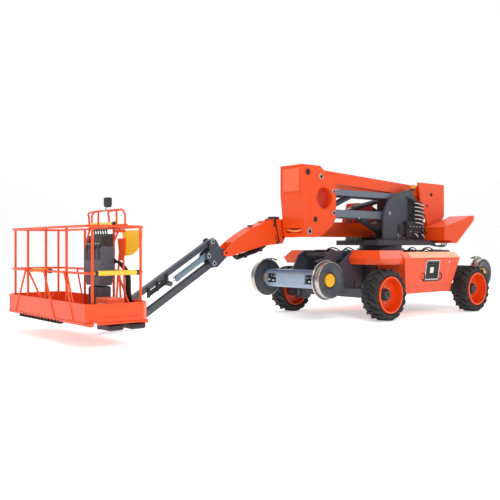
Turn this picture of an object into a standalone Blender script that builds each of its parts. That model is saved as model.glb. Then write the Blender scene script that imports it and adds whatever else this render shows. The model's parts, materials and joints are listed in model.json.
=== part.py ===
"""Self-propelled articulating boom lift for road and rail.

X points forward to the basket, Y to the machine's left and Z up.  The machine is laid out round its slew
axis on the ground and then moved so that the origin lies at the centre of its footprint box.
All sizes are metres and all angles are degrees.
"""

import math

import bmesh
import bpy
import numpy as np
from mathutils import Euler, Matrix, Vector

# ---------------------------------------------------------------- clearances
FIT = 0.0003          # between touching, unmoving pieces
RUN = 0.0005          # between a pin and its bore, or a rod and its barrel
SWING = 0.012         # beside a moving piece that nothing guides
BITE = 0.004          # how far welded pieces reach into each other
EAR_INSET = 0.034     # from a rod's middle to each of its lug's ears

# ---------------------------------------------------------------- road wheels and axles
WHEELBASE = 2.52
TYRE_D = 0.84
TYRE_W = 0.31
ROAD_WIDTH = 2.484            # over the tyres
RIM_D = 0.60
RIM_WALL = 0.014
DISC_INSET = 0.165            # rim disc behind the tyre's outer face
DISC_T = 0.022
HUB_R = 0.095
KINGPIN_Y = 0.86
KINGPIN_R = 0.032
AXLE_H = 0.15
AXLE_W = 0.15
TYRE_Y = ROAD_WIDTH / 2 - TYRE_W / 2
AXLE_Z = TYRE_D / 2
DISC_Y = ROAD_WIDTH / 2 - DISC_INSET

# ---------------------------------------------------------------- rail gear
RAIL_X = 2.195                # rail axle from the slew axis
RAIL_Z = 0.667
RAIL_GAUGE = 1.435
RAIL_TREAD_R = 0.285
RAIL_FLANGE_R = 0.312
RAIL_FACE_Y = 0.80            # outer face of a rail wheel
RAIL_WHEEL_W = 0.125
RAIL_STUB_R = 0.05
RAIL_BEAM_H = 0.29
RAIL_BEAM_W = 0.25
RAIL_PIVOT = (1.48, 0.62)     # x, z of the arm's pin
RAIL_HORN = (1.46, 1.06)      # x, z of the cylinder's end on the arm
RAIL_ANCHOR = (0.80, 1.09)    # x, z of the cylinder's end on the chassis
RAIL_ARM_Y = 0.32
RAIL_ARM_T = 0.04

# ---------------------------------------------------------------- chassis
HULL_X = 1.00
HULL_Y = 0.55
HULL_Z0 = 0.40
HULL_Z1 = 0.98
NOSE_X = 1.37
NOSE_Y = 0.46
NOSE_T = 0.04
RING_BASE_Z = 1.10
RING_R = 0.43
COVER_Y = 1.15                # widest line of a side cover
COVER_WALL = 0.02
COVER_Z0 = 0.40
COVER_RIDGE_Z = 1.00
COVER_TOP_Z = 1.10
FENDER_X = 1.40
FENDER_Z0 = 0.90

# ---------------------------------------------------------------- turntable
DECK_Z0 = 1.22
DECK_Z1 = 1.31
DECK_FRONT = 0.55
DECK_REAR = -1.15
TURRET_Y = 0.262              # inner face of the two turret plates
TURRET_NEAR_T = 0.04
TURRET_FAR_T = 0.02
TURRET_TOP = 2.24
WEIGHT_FRONT = -0.93
WEIGHT_REAR = -1.93
WEIGHT_LEFT = 0.75
WEIGHT_RIGHT = -0.80
TANK_Y = (-0.95, -0.60)

# ---------------------------------------------------------------- lift linkage, all points x, z
PIN_R = 0.03
LOWER_ROOT = (-0.44, 1.76)
LOWER_TIE_ROOT = (-0.44, 2.12)
LOWER_LEN = 1.98
LOWER_Y = 0.196               # middle of each of the two lower bars
LOWER_W = 0.036
LOWER_H = 0.13
LOWER_TIE_H = 0.10
TIE_BRACE = 1.04              # cross tube of the tie bars, behind the upper cylinder's sweep
LOWER_LUG_X = 0.76
LOWER_LUG_DROP = 0.02
LOWER_BASE = (-0.15, 1.40)
KNUCKLE_Y = 0.25              # outer face of the front knuckle
KNUCKLE_T = 0.03
UPPER_ROOT = (1.85, 2.35)
UPPER_SPAN = (-3.09, -0.145)
UPPER_Y = 0.16
UPPER_ABOVE = 0.135
UPPER_BELOW = 0.065
UPPER_TIE_OFFSET = (-0.08, -0.11)
UPPER_TIE_Y = 0.11
UPPER_TIE_W = 0.04
UPPER_TIE_H = 0.056
UPPER_BASE = (1.98, 1.64)
UPPER_LUG = 1.20              # along the upper arm from its root
UPPER_LUG_DROP = 0.125
REAR_Y = 0.245                # outer face of the rear knuckle
REAR_T = 0.035

# ---------------------------------------------------------------- telescopic boom and jib
BOOM_Y = -0.42
BOOM_W = 0.23
BOOM_H = 0.266
BOOM_Z = 1.503
BOOM_WALL = 0.014
BOOM_PIVOT = (-1.30, 1.515)
BOOM_HEAD_X = 2.36
BOOM_TAIL_X = -1.42
BOOM_STROKE = 1.50
BOOM_BASE = (-1.20, 2.25)
BOOM_LUG = (1.20, 1.70)
OUTER_PLATE_T = 0.025
JIB_PIVOT = (3.39, 1.095)
JIB_UPPER = (3.65, 1.27)
JIB_LOWER = (3.62, 0.935)
JIB_SPAN = (1.37, -0.82)
JIB_BAR_H = 0.075
JIB_BAR_W = 0.08
JIB_STRAP_Y = 0.050           # inner face of the lower bar's two straps, beside the cylinder
JIB_STRAP_T = 0.018
JIB_Y = 0.09                  # half the jib's width over its plates
JIB_PLATE_T = 0.02
JIB_BASE = (3.72, 1.05)
JIB_LUG = (4.39, 0.641)

# ---------------------------------------------------------------- basket
SWIVEL_X = 5.47
SWIVEL_R = 0.09
SWIVEL_Z = (0.06, 0.20)
BASKET_REAR = 5.59
BASKET_DEPTH = 0.82
BASKET_WIDTH = 2.50
BASKET_Y = -0.25              # middle of the basket across the machine
FLOOR_Z = 0.336
TREAD_X = (5.70, 6.30)        # raised tread plate on the floor
TREAD_Y = (-1.40, -0.20)
TREAD_T = 0.004
FLOOR_T = 0.02
TOE_H = 0.20
TOE_T = 0.01
RAIL_H = 1.10
RAIL_R = 0.017
CORNER = 0.10
ROUND = 12                    # sides of a pin, bore or tube

PAINTS = {                    # colour, roughness, metallic
    "orange": ((0.90, 0.13, 0.015), 0.35, 0.0),
    "slate": ((0.06, 0.065, 0.08), 0.45, 0.2),
    "steel": ((0.42, 0.44, 0.47), 0.4, 0.8),
    "black": ((0.015, 0.015, 0.017), 0.6, 0.0),
    "rubber": ((0.02, 0.02, 0.02), 0.85, 0.0),
    "yellow": ((0.95, 0.55, 0.02), 0.4, 0.0),
    "chrome": ((0.75, 0.75, 0.77), 0.15, 1.0),
}

BODY = {}                     # body name -> (empty, place of its joint)


# ================================================================ helpers
def start():
    """Empty the scene and make the two collections."""
    for item in list(bpy.data.objects):
        bpy.data.objects.remove(item, do_unlink=True)
    shelf = bpy.data.collections.new("articulating_boom_lift")
    bpy.context.scene.collection.children.link(shelf)
    return shelf


PARTS = start()


def paint(key):
    """Return the Principled material of one colour."""
    found = bpy.data.materials.get(key)
    if found:
        return found
    colour, rough, metal = PAINTS[key]
    made = bpy.data.materials.new(key)
    made.use_nodes = True
    shader = made.node_tree.nodes["Principled BSDF"]
    shader.inputs["Base Color"].default_value = (*colour, 1.0)
    shader.inputs["Roughness"].default_value = rough
    shader.inputs["Metallic"].default_value = metal
    return made


def body(name, x, y, z, parent=None):
    """Add the empty that stands on a moving body's joint."""
    empty = bpy.data.objects.new("pivot_" + name, None)
    PARTS.objects.link(empty)
    place = Vector((x, y, z))
    if parent:
        above, origin = BODY[parent]
        empty.parent = above
        empty.location = place - origin
    else:
        empty.location = place
    BODY[name] = (empty, place)


def temp(mesh, name="piece"):
    piece = bpy.data.objects.new(name, mesh)
    PARTS.objects.link(piece)
    return piece


def bake(piece, merge=0.00002):
    """Turn an object into one plain closed mesh in world coordinates."""
    bpy.context.view_layer.update()
    graph = bpy.context.evaluated_depsgraph_get()
    mesh = bpy.data.meshes.new_from_object(piece.evaluated_get(graph))
    mesh.transform(piece.matrix_world)
    bpy.data.objects.remove(piece, do_unlink=True)
    work = bmesh.new()
    work.from_mesh(mesh)
    if merge:
        bmesh.ops.remove_doubles(work, verts=work.verts, dist=merge)
    bmesh.ops.recalc_face_normals(work, faces=work.faces)
    work.to_mesh(mesh)
    work.free()
    return temp(mesh)


def box(x0, x1, y0, y1, z0, z1):
    """A cuboid between two corners."""
    work = bmesh.new()
    middle = Vector(((x0 + x1) / 2, (y0 + y1) / 2, (z0 + z1) / 2))
    size = Vector((x1 - x0, y1 - y0, z1 - z0))
    bmesh.ops.create_cube(work, size=1.0, matrix=Matrix.Translation(middle) @ Matrix.Diagonal((*size, 1)))
    mesh = bpy.data.meshes.new("box")
    work.to_mesh(mesh)
    work.free()
    return temp(mesh)


def rod(start_point, end_point, radius, sides=ROUND):
    """A round bar between two points."""
    first, last = Vector(start_point), Vector(end_point)
    along = last - first
    turn = along.to_track_quat("Z", "Y").to_matrix().to_4x4()
    work = bmesh.new()
    bmesh.ops.create_cone(work, cap_ends=True, segments=sides, radius1=radius, radius2=radius,
                          depth=along.length, matrix=Matrix.Translation((first + last) / 2) @ turn)
    mesh = bpy.data.meshes.new("rod")
    work.to_mesh(mesh)
    work.free()
    return temp(mesh)


def across(point, y0, y1, radius, sides=ROUND):
    """A round bar along Y at an x, z point."""
    return rod((point[0], y0, point[1]), (point[0], y1, point[1]), radius, sides)


def bore(radius, sides=ROUND):
    """Radius of a bore whose flats clear a pin of the given radius."""
    return (radius + RUN) / math.cos(math.pi / sides)


def circle(point, radius, sides=ROUND):
    """Points of a circle."""
    turn = 2 * math.pi / sides
    return [(point[0] + radius * math.cos(k * turn), point[1] + radius * math.sin(k * turn))
            for k in range(sides)]


TURNS = {"XY": (0, 0, 0), "XZ": (90, 0, 0), "YZ": (90, 0, 90)}
NORMALS = {"XY": (0, 0, 1), "XZ": (0, 1, 0), "YZ": (1, 0, 0)}


def plate(outline, low, high, holes=(), plane="XZ"):
    """A flat plate with round or shaped holes, between two levels across its plane."""
    curve = bpy.data.curves.new("plate", "CURVE")
    curve.dimensions = "2D"
    curve.fill_mode = "BOTH"
    curve.extrude = (high - low) / 2
    for loop in [outline, *holes]:
        spline = curve.splines.new("POLY")
        spline.points.add(len(loop) - 1)
        for point, (a, b) in zip(spline.points, loop):
            point.co = (a, b, 0, 1)
        spline.use_cyclic_u = True
    piece = bpy.data.objects.new("plate", curve)
    PARTS.objects.link(piece)
    piece.rotation_euler = Euler([math.radians(v) for v in TURNS[plane]])
    piece.location = Vector(NORMALS[plane]) * ((low + high) / 2)
    return bake(piece)


def bar_outline(first, last, below, above, nose, steps=4):
    """A straight bar with rounded ends about its two pins."""
    run = Vector((last[0] - first[0], last[1] - first[1]))
    unit = run.normalized()
    side = Vector((-unit.y, unit.x))
    points = []
    for centre, sign in ((Vector(last), 1), (Vector(first), -1)):
        for k in range(steps + 1):
            angle = math.pi * (k / steps - 0.5) * 1.0
            out = unit * (math.cos(angle) * nose * sign)
            up = side * (math.sin(angle) * sign)
            reach = above if up.dot(side) > 0 else below
            points.append(tuple(centre + out + up * reach))
    return points


def turned(profile, centre, axis, sides, closed):
    """A turned shape: (radius, height) points round an axis through centre."""
    mesh = bpy.data.meshes.new("turned")
    edges = [(k, k + 1) for k in range(len(profile) - 1)]
    if closed:
        edges.append((len(profile) - 1, 0))
    mesh.from_pydata([(r, 0, h) for r, h in profile], edges, [])
    piece = temp(mesh)
    screw = piece.modifiers.new("turn", "SCREW")
    screw.steps = sides
    screw.render_steps = sides
    screw.use_merge_vertices = True
    screw.merge_threshold = 0.00005
    piece.rotation_euler = Vector(axis).to_track_quat("Z", "Y").to_euler()
    piece.location = centre
    return bake(piece)


def tube(points, radius, closed=False, resolution=1):
    """A bent round bar as a curve with a bevel depth."""
    curve = bpy.data.curves.new("tube", "CURVE")
    curve.dimensions = "3D"
    curve.bevel_depth = radius
    curve.bevel_resolution = resolution
    curve.use_fill_caps = True
    spline = curve.splines.new("POLY")
    spline.points.add(len(points) - 1)
    for point, place in zip(spline.points, points):
        point.co = (*place, 1)
    spline.use_cyclic_u = closed
    piece = bpy.data.objects.new("tube", curve)
    PARTS.objects.link(piece)
    return bake(piece)


def loft(sections):
    """A block through level rectangles given as z, x0, x1, y0, y1."""
    work = bmesh.new()
    rings = []
    for z, x0, x1, y0, y1 in sections:
        corners = ((x0, y0, z), (x1, y0, z), (x1, y1, z), (x0, y1, z))
        rings.append([work.verts.new(corner) for corner in corners])
    work.faces.new(rings[0])
    work.faces.new(rings[-1])
    for lower, upper in zip(rings, rings[1:]):
        for k in range(4):
            work.faces.new((lower[k], lower[(k + 1) % 4], upper[(k + 1) % 4], upper[k]))
    bmesh.ops.recalc_face_normals(work, faces=work.faces)
    mesh = bpy.data.meshes.new("loft")
    work.to_mesh(mesh)
    work.free()
    return temp(mesh)


def node(name, owner, colour, pieces, cuts=()):
    """Weld pieces, make the cuts and hang the result on its body."""
    whole = pieces[0]
    tools = [(item, "UNION") for item in pieces[1:]] + [(item, "DIFFERENCE") for item in cuts]
    for item, operation in tools:
        item.hide_render = True
        item.display_type = "WIRE"
        cut = whole.modifiers.new("weld", "BOOLEAN")
        cut.operation = operation
        cut.solver = "EXACT"
        cut.object = item
    whole = bake(whole, 0)
    for item, _ in tools:
        bpy.data.objects.remove(item, do_unlink=True)
    empty, origin = BODY[owner]
    whole.data.transform(Matrix.Translation(-origin))
    whole.parent = empty
    whole.name = name
    whole.data.name = name
    whole.data.materials.clear()
    whole.data.materials.append(paint(colour))
    whole.data.shade_smooth()
    whole.data.set_sharp_from_angle(angle=math.radians(35))
    return whole


def moved(point, step, share=1.0):
    """An x, z point moved along a step."""
    return (point[0] + step[0] * share, point[1] + step[1] * share)


def toward(first, last, distance):
    """A point at a distance from the first point towards the last."""
    run = Vector((last[0] - first[0], last[1] - first[1])).normalized()
    return (first[0] + run.x * distance, first[1] + run.y * distance)


# ================================================================ hydraulic cylinders
def cylinder(name, owner_barrel, owner_rod, base, lug, y, barrel_len, radius, rod_r, insert):
    """Barrel with an eye on its pin, and a rod whose eye lies between the lug's ears."""
    eye = radius * 0.9
    mouth = toward(base, lug, barrel_len)
    foot = toward(base, lug, radius * 0.6)
    inner = toward(base, lug, barrel_len - insert)
    rod_tip = toward(lug, base, eye * 0.7)
    shell = rod((foot[0], y, foot[1]), (mouth[0], y, mouth[1]), radius, 16)
    ring = across(base, y - radius * 0.55, y + radius * 0.55, eye, 16)
    beyond = toward(base, lug, barrel_len + 0.01)
    deep = toward(base, lug, radius * 0.6 + 0.05)
    well = rod((deep[0], y, deep[1]), (beyond[0], y, beyond[1]), bore(rod_r), ROUND)
    hole = across(base, y - radius, y + radius, bore(PIN_R))
    node(name + "_barrel", owner_barrel, "slate", [shell, ring], [well, hole])
    shaft = rod((inner[0], y, inner[1]), (rod_tip[0], y, rod_tip[1]), rod_r, ROUND)
    half = min(EAR_INSET - 0.001, rod_r + 0.0005)
    head = across(lug, y - half, y + half, eye, 16)
    node(name + "_rod", owner_rod, "chrome", [shaft, head])


def ears(lug, root, y, height, inset=EAR_INSET, thick=0.02):
    """The two ears that stand beside a rod's eye."""
    outline = bar_outline(root, lug, height, height, height)
    return [plate(outline, y + inset, y + inset + thick), plate(outline, y - inset - thick, y - inset)]


# ================================================================ joints
def bodies():
    """Empties on every joint, parents first."""
    body("chassis", 0, 0, 0)
    for side, sign in (("left", 1), ("right", -1)):
        body(f"steer_{side}", WHEELBASE / 2, sign * KINGPIN_Y, AXLE_Z, "chassis")
        body(f"wheel_front_{side}", WHEELBASE / 2, sign * TYRE_Y, AXLE_Z, f"steer_{side}")
        body(f"wheel_rear_{side}", -WHEELBASE / 2, sign * TYRE_Y, AXLE_Z, "chassis")
    for end, sign in (("front", 1), ("rear", -1)):
        body(f"rail_arm_{end}", sign * RAIL_PIVOT[0], 0, RAIL_PIVOT[1], "chassis")
        body(f"rail_wheels_{end}", sign * RAIL_X, 0, RAIL_Z, f"rail_arm_{end}")
        body(f"rail_barrel_{end}", sign * RAIL_ANCHOR[0], 0, RAIL_ANCHOR[1], "chassis")
        body(f"rail_rod_{end}", sign * RAIL_HORN[0], 0, RAIL_HORN[1], f"rail_barrel_{end}")
    body("turntable", 0, 0, DECK_Z0, "chassis")
    body("lower_arm", LOWER_ROOT[0], 0, LOWER_ROOT[1], "turntable")
    body("lower_tie", LOWER_TIE_ROOT[0], 0, LOWER_TIE_ROOT[1], "turntable")
    body("lower_barrel", LOWER_BASE[0], 0, LOWER_BASE[1], "turntable")
    body("lower_rod", LOWER_LUG_X, 0, LOWER_ROOT[1], "lower_barrel")
    body("front_knuckle", *xz(moved(LOWER_ROOT, (LOWER_LEN, 0))), "lower_arm")
    body("upper_arm", *xz(UPPER_ROOT), "front_knuckle")
    body("upper_tie", *xz(moved(UPPER_ROOT, UPPER_TIE_OFFSET)), "front_knuckle")
    body("upper_barrel", *xz(UPPER_BASE), "front_knuckle")
    body("upper_rod", *xz(upper_lug()), "upper_barrel")
    body("rear_knuckle", *xz(moved(UPPER_ROOT, UPPER_SPAN)), "upper_arm")
    body("boom", BOOM_PIVOT[0], BOOM_Y, BOOM_PIVOT[1], "rear_knuckle")
    body("boom_barrel", BOOM_BASE[0], BOOM_Y, BOOM_BASE[1], "rear_knuckle")
    body("boom_rod", BOOM_LUG[0], BOOM_Y, BOOM_LUG[1], "boom_barrel")
    body("telescope", BOOM_HEAD_X, BOOM_Y, BOOM_Z, "boom")
    body("jib_knuckle", JIB_PIVOT[0], BOOM_Y, JIB_PIVOT[1], "telescope")
    body("jib_upper", JIB_UPPER[0], BOOM_Y, JIB_UPPER[1], "jib_knuckle")
    body("jib_lower", JIB_LOWER[0], BOOM_Y, JIB_LOWER[1], "jib_knuckle")
    body("jib_barrel", JIB_BASE[0], BOOM_Y, JIB_BASE[1], "jib_knuckle")
    body("jib_rod", JIB_LUG[0], BOOM_Y, JIB_LUG[1], "jib_barrel")
    body("jib_end", *xz(moved(JIB_UPPER, JIB_SPAN), BOOM_Y), "jib_upper")
    body("basket", SWIVEL_X, BOOM_Y, FLOOR_Z, "jib_end")
    body("entry_bar", SWIVEL_X, BASKET_Y + BASKET_WIDTH / 2, FLOOR_Z + RAIL_H / 2, "basket")


def xz(point, y=0.0):
    return point[0], y, point[1]


def upper_lug():
    """Pin of the upper lift cylinder, below the upper arm."""
    run = Vector(UPPER_SPAN).normalized()
    down = Vector((-run.y, run.x)) * UPPER_LUG_DROP
    place = Vector(UPPER_ROOT) + run * UPPER_LUG + (down if down.y < 0 else -down)
    return place.x, place.y


# ================================================================ chassis
def chassis():
    """Hull with nose plates at both ends, pins and brackets."""
    x0, x1 = HULL_X, NOSE_X
    pieces = [box(-x0, x0, -HULL_Y, HULL_Y, HULL_Z0, HULL_Z1)]
    pieces.append(box(-0.52, 0.52, -HULL_Y + 0.03, HULL_Y - 0.03, HULL_Z1 - BITE, RING_BASE_Z))
    for sign in (1, -1):
        pieces.append(box(*sorted((sign * (x0 - BITE), sign * x1)), -0.27, 0.27, 0.52, 0.92))
        outline = [(0.95, 0.505), (1.50, 0.505), (1.55, 0.54), (1.63, 0.70), (1.63, 0.90), (1.27, 1.14), (0.95, 1.14)]
        outline = [(sign * x, z) for x, z in outline]
        for y in (NOSE_Y - NOSE_T, -NOSE_Y):
            pieces.append(plate(outline, y, y + NOSE_T))
        pin = (sign * RAIL_PIVOT[0], RAIL_PIVOT[1])
        pieces.append(across(pin, -NOSE_Y + BITE, NOSE_Y - BITE, 0.035))
        anchor = (sign * RAIL_ANCHOR[0], RAIL_ANCHOR[1])
        foot = (anchor[0], HULL_Z1 - 0.02)
        outline = bar_outline(foot, anchor, 0.05, 0.05, 0.05)
        for y in (0.045, -0.065):
            pieces.append(plate(outline, y, y + 0.02))
        pieces.append(across(anchor, -0.05, 0.05, PIN_R))
    node("chassis_frame", "chassis", "slate", pieces)
    node("slew_ring", "chassis", "steel",
         [turned([(0, RING_BASE_Z + FIT), (RING_R, RING_BASE_Z + FIT), (RING_R, 1.16),
                  (RING_R - 0.04, 1.165), (RING_R - 0.04, DECK_Z0 - FIT), (0, DECK_Z0 - FIT)],
                 (0, 0, 0), (0, 0, 1), 32, False)])


def cover_solid(side, shrink):
    """Outer or inner solid of a side cover: deep box, and shallow part over the front tyre."""
    y_in = HULL_Y + FIT if not shrink else 0.40
    wall = COVER_WALL if shrink else 0.0
    rows = [(COVER_Z0 + wall, 0.65, -0.62, 1.06), (COVER_RIDGE_Z, 0.80, -0.82, COVER_Y),
            (COVER_TOP_Z - wall, 0.80, -0.78, 1.05)]
    sections = [(z, rear + wall, front - wall, *sorted((side * y_in, side * (out - wall))))
                for z, front, rear, out in rows]
    deep = loft(sections)
    fender_in = NOSE_Y + FIT if not shrink else 0.62
    rows = [(FENDER_Z0 - (0.03 if shrink else 0), 1.36, 1.08), (COVER_RIDGE_Z, FENDER_X, COVER_Y - 0.02),
            (COVER_TOP_Z + 0.03 - wall, 1.30, 1.02)]
    start = 0.70 if not shrink else 0.82
    sections = [(z, start, front - wall, *sorted((side * fender_in, side * (out - wall))))
                for z, front, out in rows]
    return [deep, loft(sections)]


def side_covers():
    for name, side in (("left", 1), ("right", -1)):
        shell = cover_solid(side, False)
        notch = box(-HULL_X - 0.01, HULL_X + 0.001, *sorted((0, side * (HULL_Y + FIT))), 0.3, 1.3)
        nose = box(HULL_X - 0.06, 1.7, *sorted((0, side * (NOSE_Y + FIT))), 0.3, 1.3)
        node(f"{name}_side_cover", "chassis", "orange", shell, [*cover_solid(side, True), notch, nose])
    node("engine_block", "chassis", "steel", [box(-0.50, 0.45, HULL_Y + FIT, 0.95, 0.50, 0.92)])


def axles():
    """Rear axle with hubs, front beam with yokes, and the two steering knuckles."""
    half_w, half_h = AXLE_W / 2, AXLE_H / 2
    x = -WHEELBASE / 2
    hub_out = DISC_Y - DISC_T / 2
    pieces = [box(x - half_w, x + half_w, -0.80, 0.80, AXLE_Z - half_h, AXLE_Z + half_h)]
    pieces.append(box(x - 0.10, x + 0.10, -0.20, 0.20, AXLE_Z, 0.52 - FIT))
    for sign in (1, -1):
        pieces += hub(x, sign, 0.79)
    node("rear_axle", "chassis", "slate", pieces)
    x = WHEELBASE / 2
    pieces = [box(x - half_w, x + half_w, -0.72, 0.72, AXLE_Z - half_h, AXLE_Z + half_h)]
    pieces.append(box(x - 0.10, x + 0.10, -0.20, 0.20, AXLE_Z, 0.52 - FIT))
    for sign in (1, -1):
        for z in (0.26, 0.55):
            pieces.append(box(x - 0.05, x + 0.05, *sorted((sign * 0.66, sign * 0.91)), z, z + 0.03))
        pieces.append(box(x - 0.05, x + 0.05, *sorted((sign * 0.66, sign * 0.72)), 0.27, 0.57))
        pieces.append(rod((x, sign * KINGPIN_Y, 0.27), (x, sign * KINGPIN_Y, 0.57), KINGPIN_R))
    node("front_axle", "chassis", "slate", pieces)
    for name, sign in (("left", 1), ("right", -1)):
        block = rod((x, sign * KINGPIN_Y, 0.297), (x, sign * KINGPIN_Y, 0.543), 0.062, 16)
        pin_hole = rod((x, sign * KINGPIN_Y, 0.2), (x, sign * KINGPIN_Y, 0.6), bore(KINGPIN_R))
        node(f"steering_knuckle_{name}", f"steer_{name}", "slate", [block, *hub(x, sign, 0.90)], [pin_hole])


def hub(x, sign, start_y):
    """Round hub that carries the rim disc."""
    end = DISC_Y + 0.06
    seat = DISC_Y - DISC_T / 2 - FIT
    centre = (x, 0, AXLE_Z)
    inner = rod((x, sign * start_y, AXLE_Z), (x, sign * seat, AXLE_Z), 0.13, 24)
    outer = rod((x, sign * (seat - BITE), AXLE_Z), (x, sign * end, AXLE_Z), HUB_R, 28)
    return [inner, outer]


def wheels():
    """Tyres and deep-dish rims: turned pieces."""
    for name, sign, x in (("front_left", 1, 1), ("front_right", -1, 1), ("rear_left", 1, -1), ("rear_right", -1, -1)):
        centre = (x * WHEELBASE / 2, sign * TYRE_Y, AXLE_Z)
        axis = (0, sign, 0)
        half, r_out, r_in = TYRE_W / 2, TYRE_D / 2, RIM_D / 2 - 0.004
        profile = [(r_in, half - 0.012), (r_in + 0.05, half), (r_out - 0.055, half), (r_out, half - 0.045),
                   (r_out, -half + 0.045), (r_out - 0.055, -half), (r_in + 0.05, -half), (r_in, -half + 0.012)]
        tyre = turned(profile[::-1], centre, axis, 28, True)
        node(f"tyre_{name}", f"wheel_{name}", "rubber", [tyre])
        lip = RIM_D / 2 - 0.004 - FIT
        bed = lip - RIM_WALL
        d1 = DISC_Y - TYRE_Y + DISC_T / 2
        d0 = d1 - DISC_T
        hole = bore(HUB_R, 28)
        profile = [(hole, d1), (bed, d1), (bed, half - 0.015), (lip, half - 0.015), (lip, -half + 0.015),
                   (bed, -half + 0.015), (bed, d0), (hole, d0)]
        node(f"rim_{name}", f"wheel_{name}", "orange", [turned(profile, centre, axis, 28, True)])


# ================================================================ rail gear
def rail_gear():
    for end, sign in (("front", 1), ("rear", -1)):
        x, z = sign * RAIL_X, RAIL_Z
        half_h, half_w, cut = RAIL_BEAM_H / 2, RAIL_BEAM_W / 2, 0.07
        beam = [(-half_w, -half_h + cut), (-half_w + cut, -half_h), (half_w - cut, -half_h), (half_w, -half_h + cut),
                (half_w, half_h - cut), (half_w - cut, half_h), (-half_w + cut, half_h), (-half_w, half_h - cut)]
        pieces = [plate([(x + a, z + b) for a, b in beam], -0.62, 0.62)]
        arm = [(1.40, 0.55), (1.58, 0.55), (2.12, 0.58), (2.20, 0.66), (2.10, 0.78), (1.93, 0.84), (1.80, 1.06),
               (1.68, 1.13), (1.46, 1.13), (1.40, 1.06), (1.42, 1.00), (1.58, 0.96), (1.66, 0.84), (1.62, 0.72),
               (1.48, 0.69), (1.40, 0.68)]
        arm = [(sign * a, b) for a, b in arm]
        pin = (sign * RAIL_PIVOT[0], RAIL_PIVOT[1])
        for y in (RAIL_ARM_Y - RAIL_ARM_T / 2, -RAIL_ARM_Y - RAIL_ARM_T / 2):
            pieces.append(plate(arm, y, y + RAIL_ARM_T, [circle(pin, bore(0.035))]))
        horn = (sign * RAIL_HORN[0], RAIL_HORN[1])
        root = (horn[0] + sign * 0.20, horn[1])
        pieces.append(across(root, -RAIL_ARM_Y, RAIL_ARM_Y, 0.03))
        pieces += ears(horn, root, 0.0, 0.035)
        for side in (1, -1):
            pieces.append(across((x, z), side * 0.60, side * (RAIL_FACE_Y - 0.03), RAIL_STUB_R, 14))
        windows = [box(*sorted((x + sign * 0.06, x + sign * 0.3)), *sorted((side * 0.34, side * 0.56)), z - 0.075, z + 0.075)
                   for side in (1, -1)]
        node(f"rail_arm_{end}", f"rail_arm_{end}", "steel", pieces, windows)
        for name, side in (("left", 1), ("right", -1)):
            inner = RAIL_FACE_Y - RAIL_WHEEL_W
            hole = bore(RAIL_STUB_R, 14)
            profile = [(hole, inner), (RAIL_FLANGE_R - 0.01, inner), (RAIL_FLANGE_R, inner + 0.012),
                       (RAIL_FLANGE_R - 0.012, inner + 0.030), (RAIL_TREAD_R, inner + 0.036),
                       (RAIL_TREAD_R - 0.006, RAIL_FACE_Y), (0.235, RAIL_FACE_Y), (0.13, RAIL_FACE_Y - 0.035),
                       (0.12, RAIL_FACE_Y - 0.055), (hole, RAIL_FACE_Y - 0.055)]
            disc = turned(profile[::-1], (x, 0, z), (0, side, 0), 28, True)
            node(f"rail_wheel_{end}_{name}", f"rail_wheels_{end}", "steel", [disc])
        cylinder(f"rail_lift_{end}", f"rail_barrel_{end}", f"rail_rod_{end}",
                 (sign * RAIL_ANCHOR[0], RAIL_ANCHOR[1]), horn, 0.0, 0.50, 0.042, 0.022, 0.36)


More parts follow.
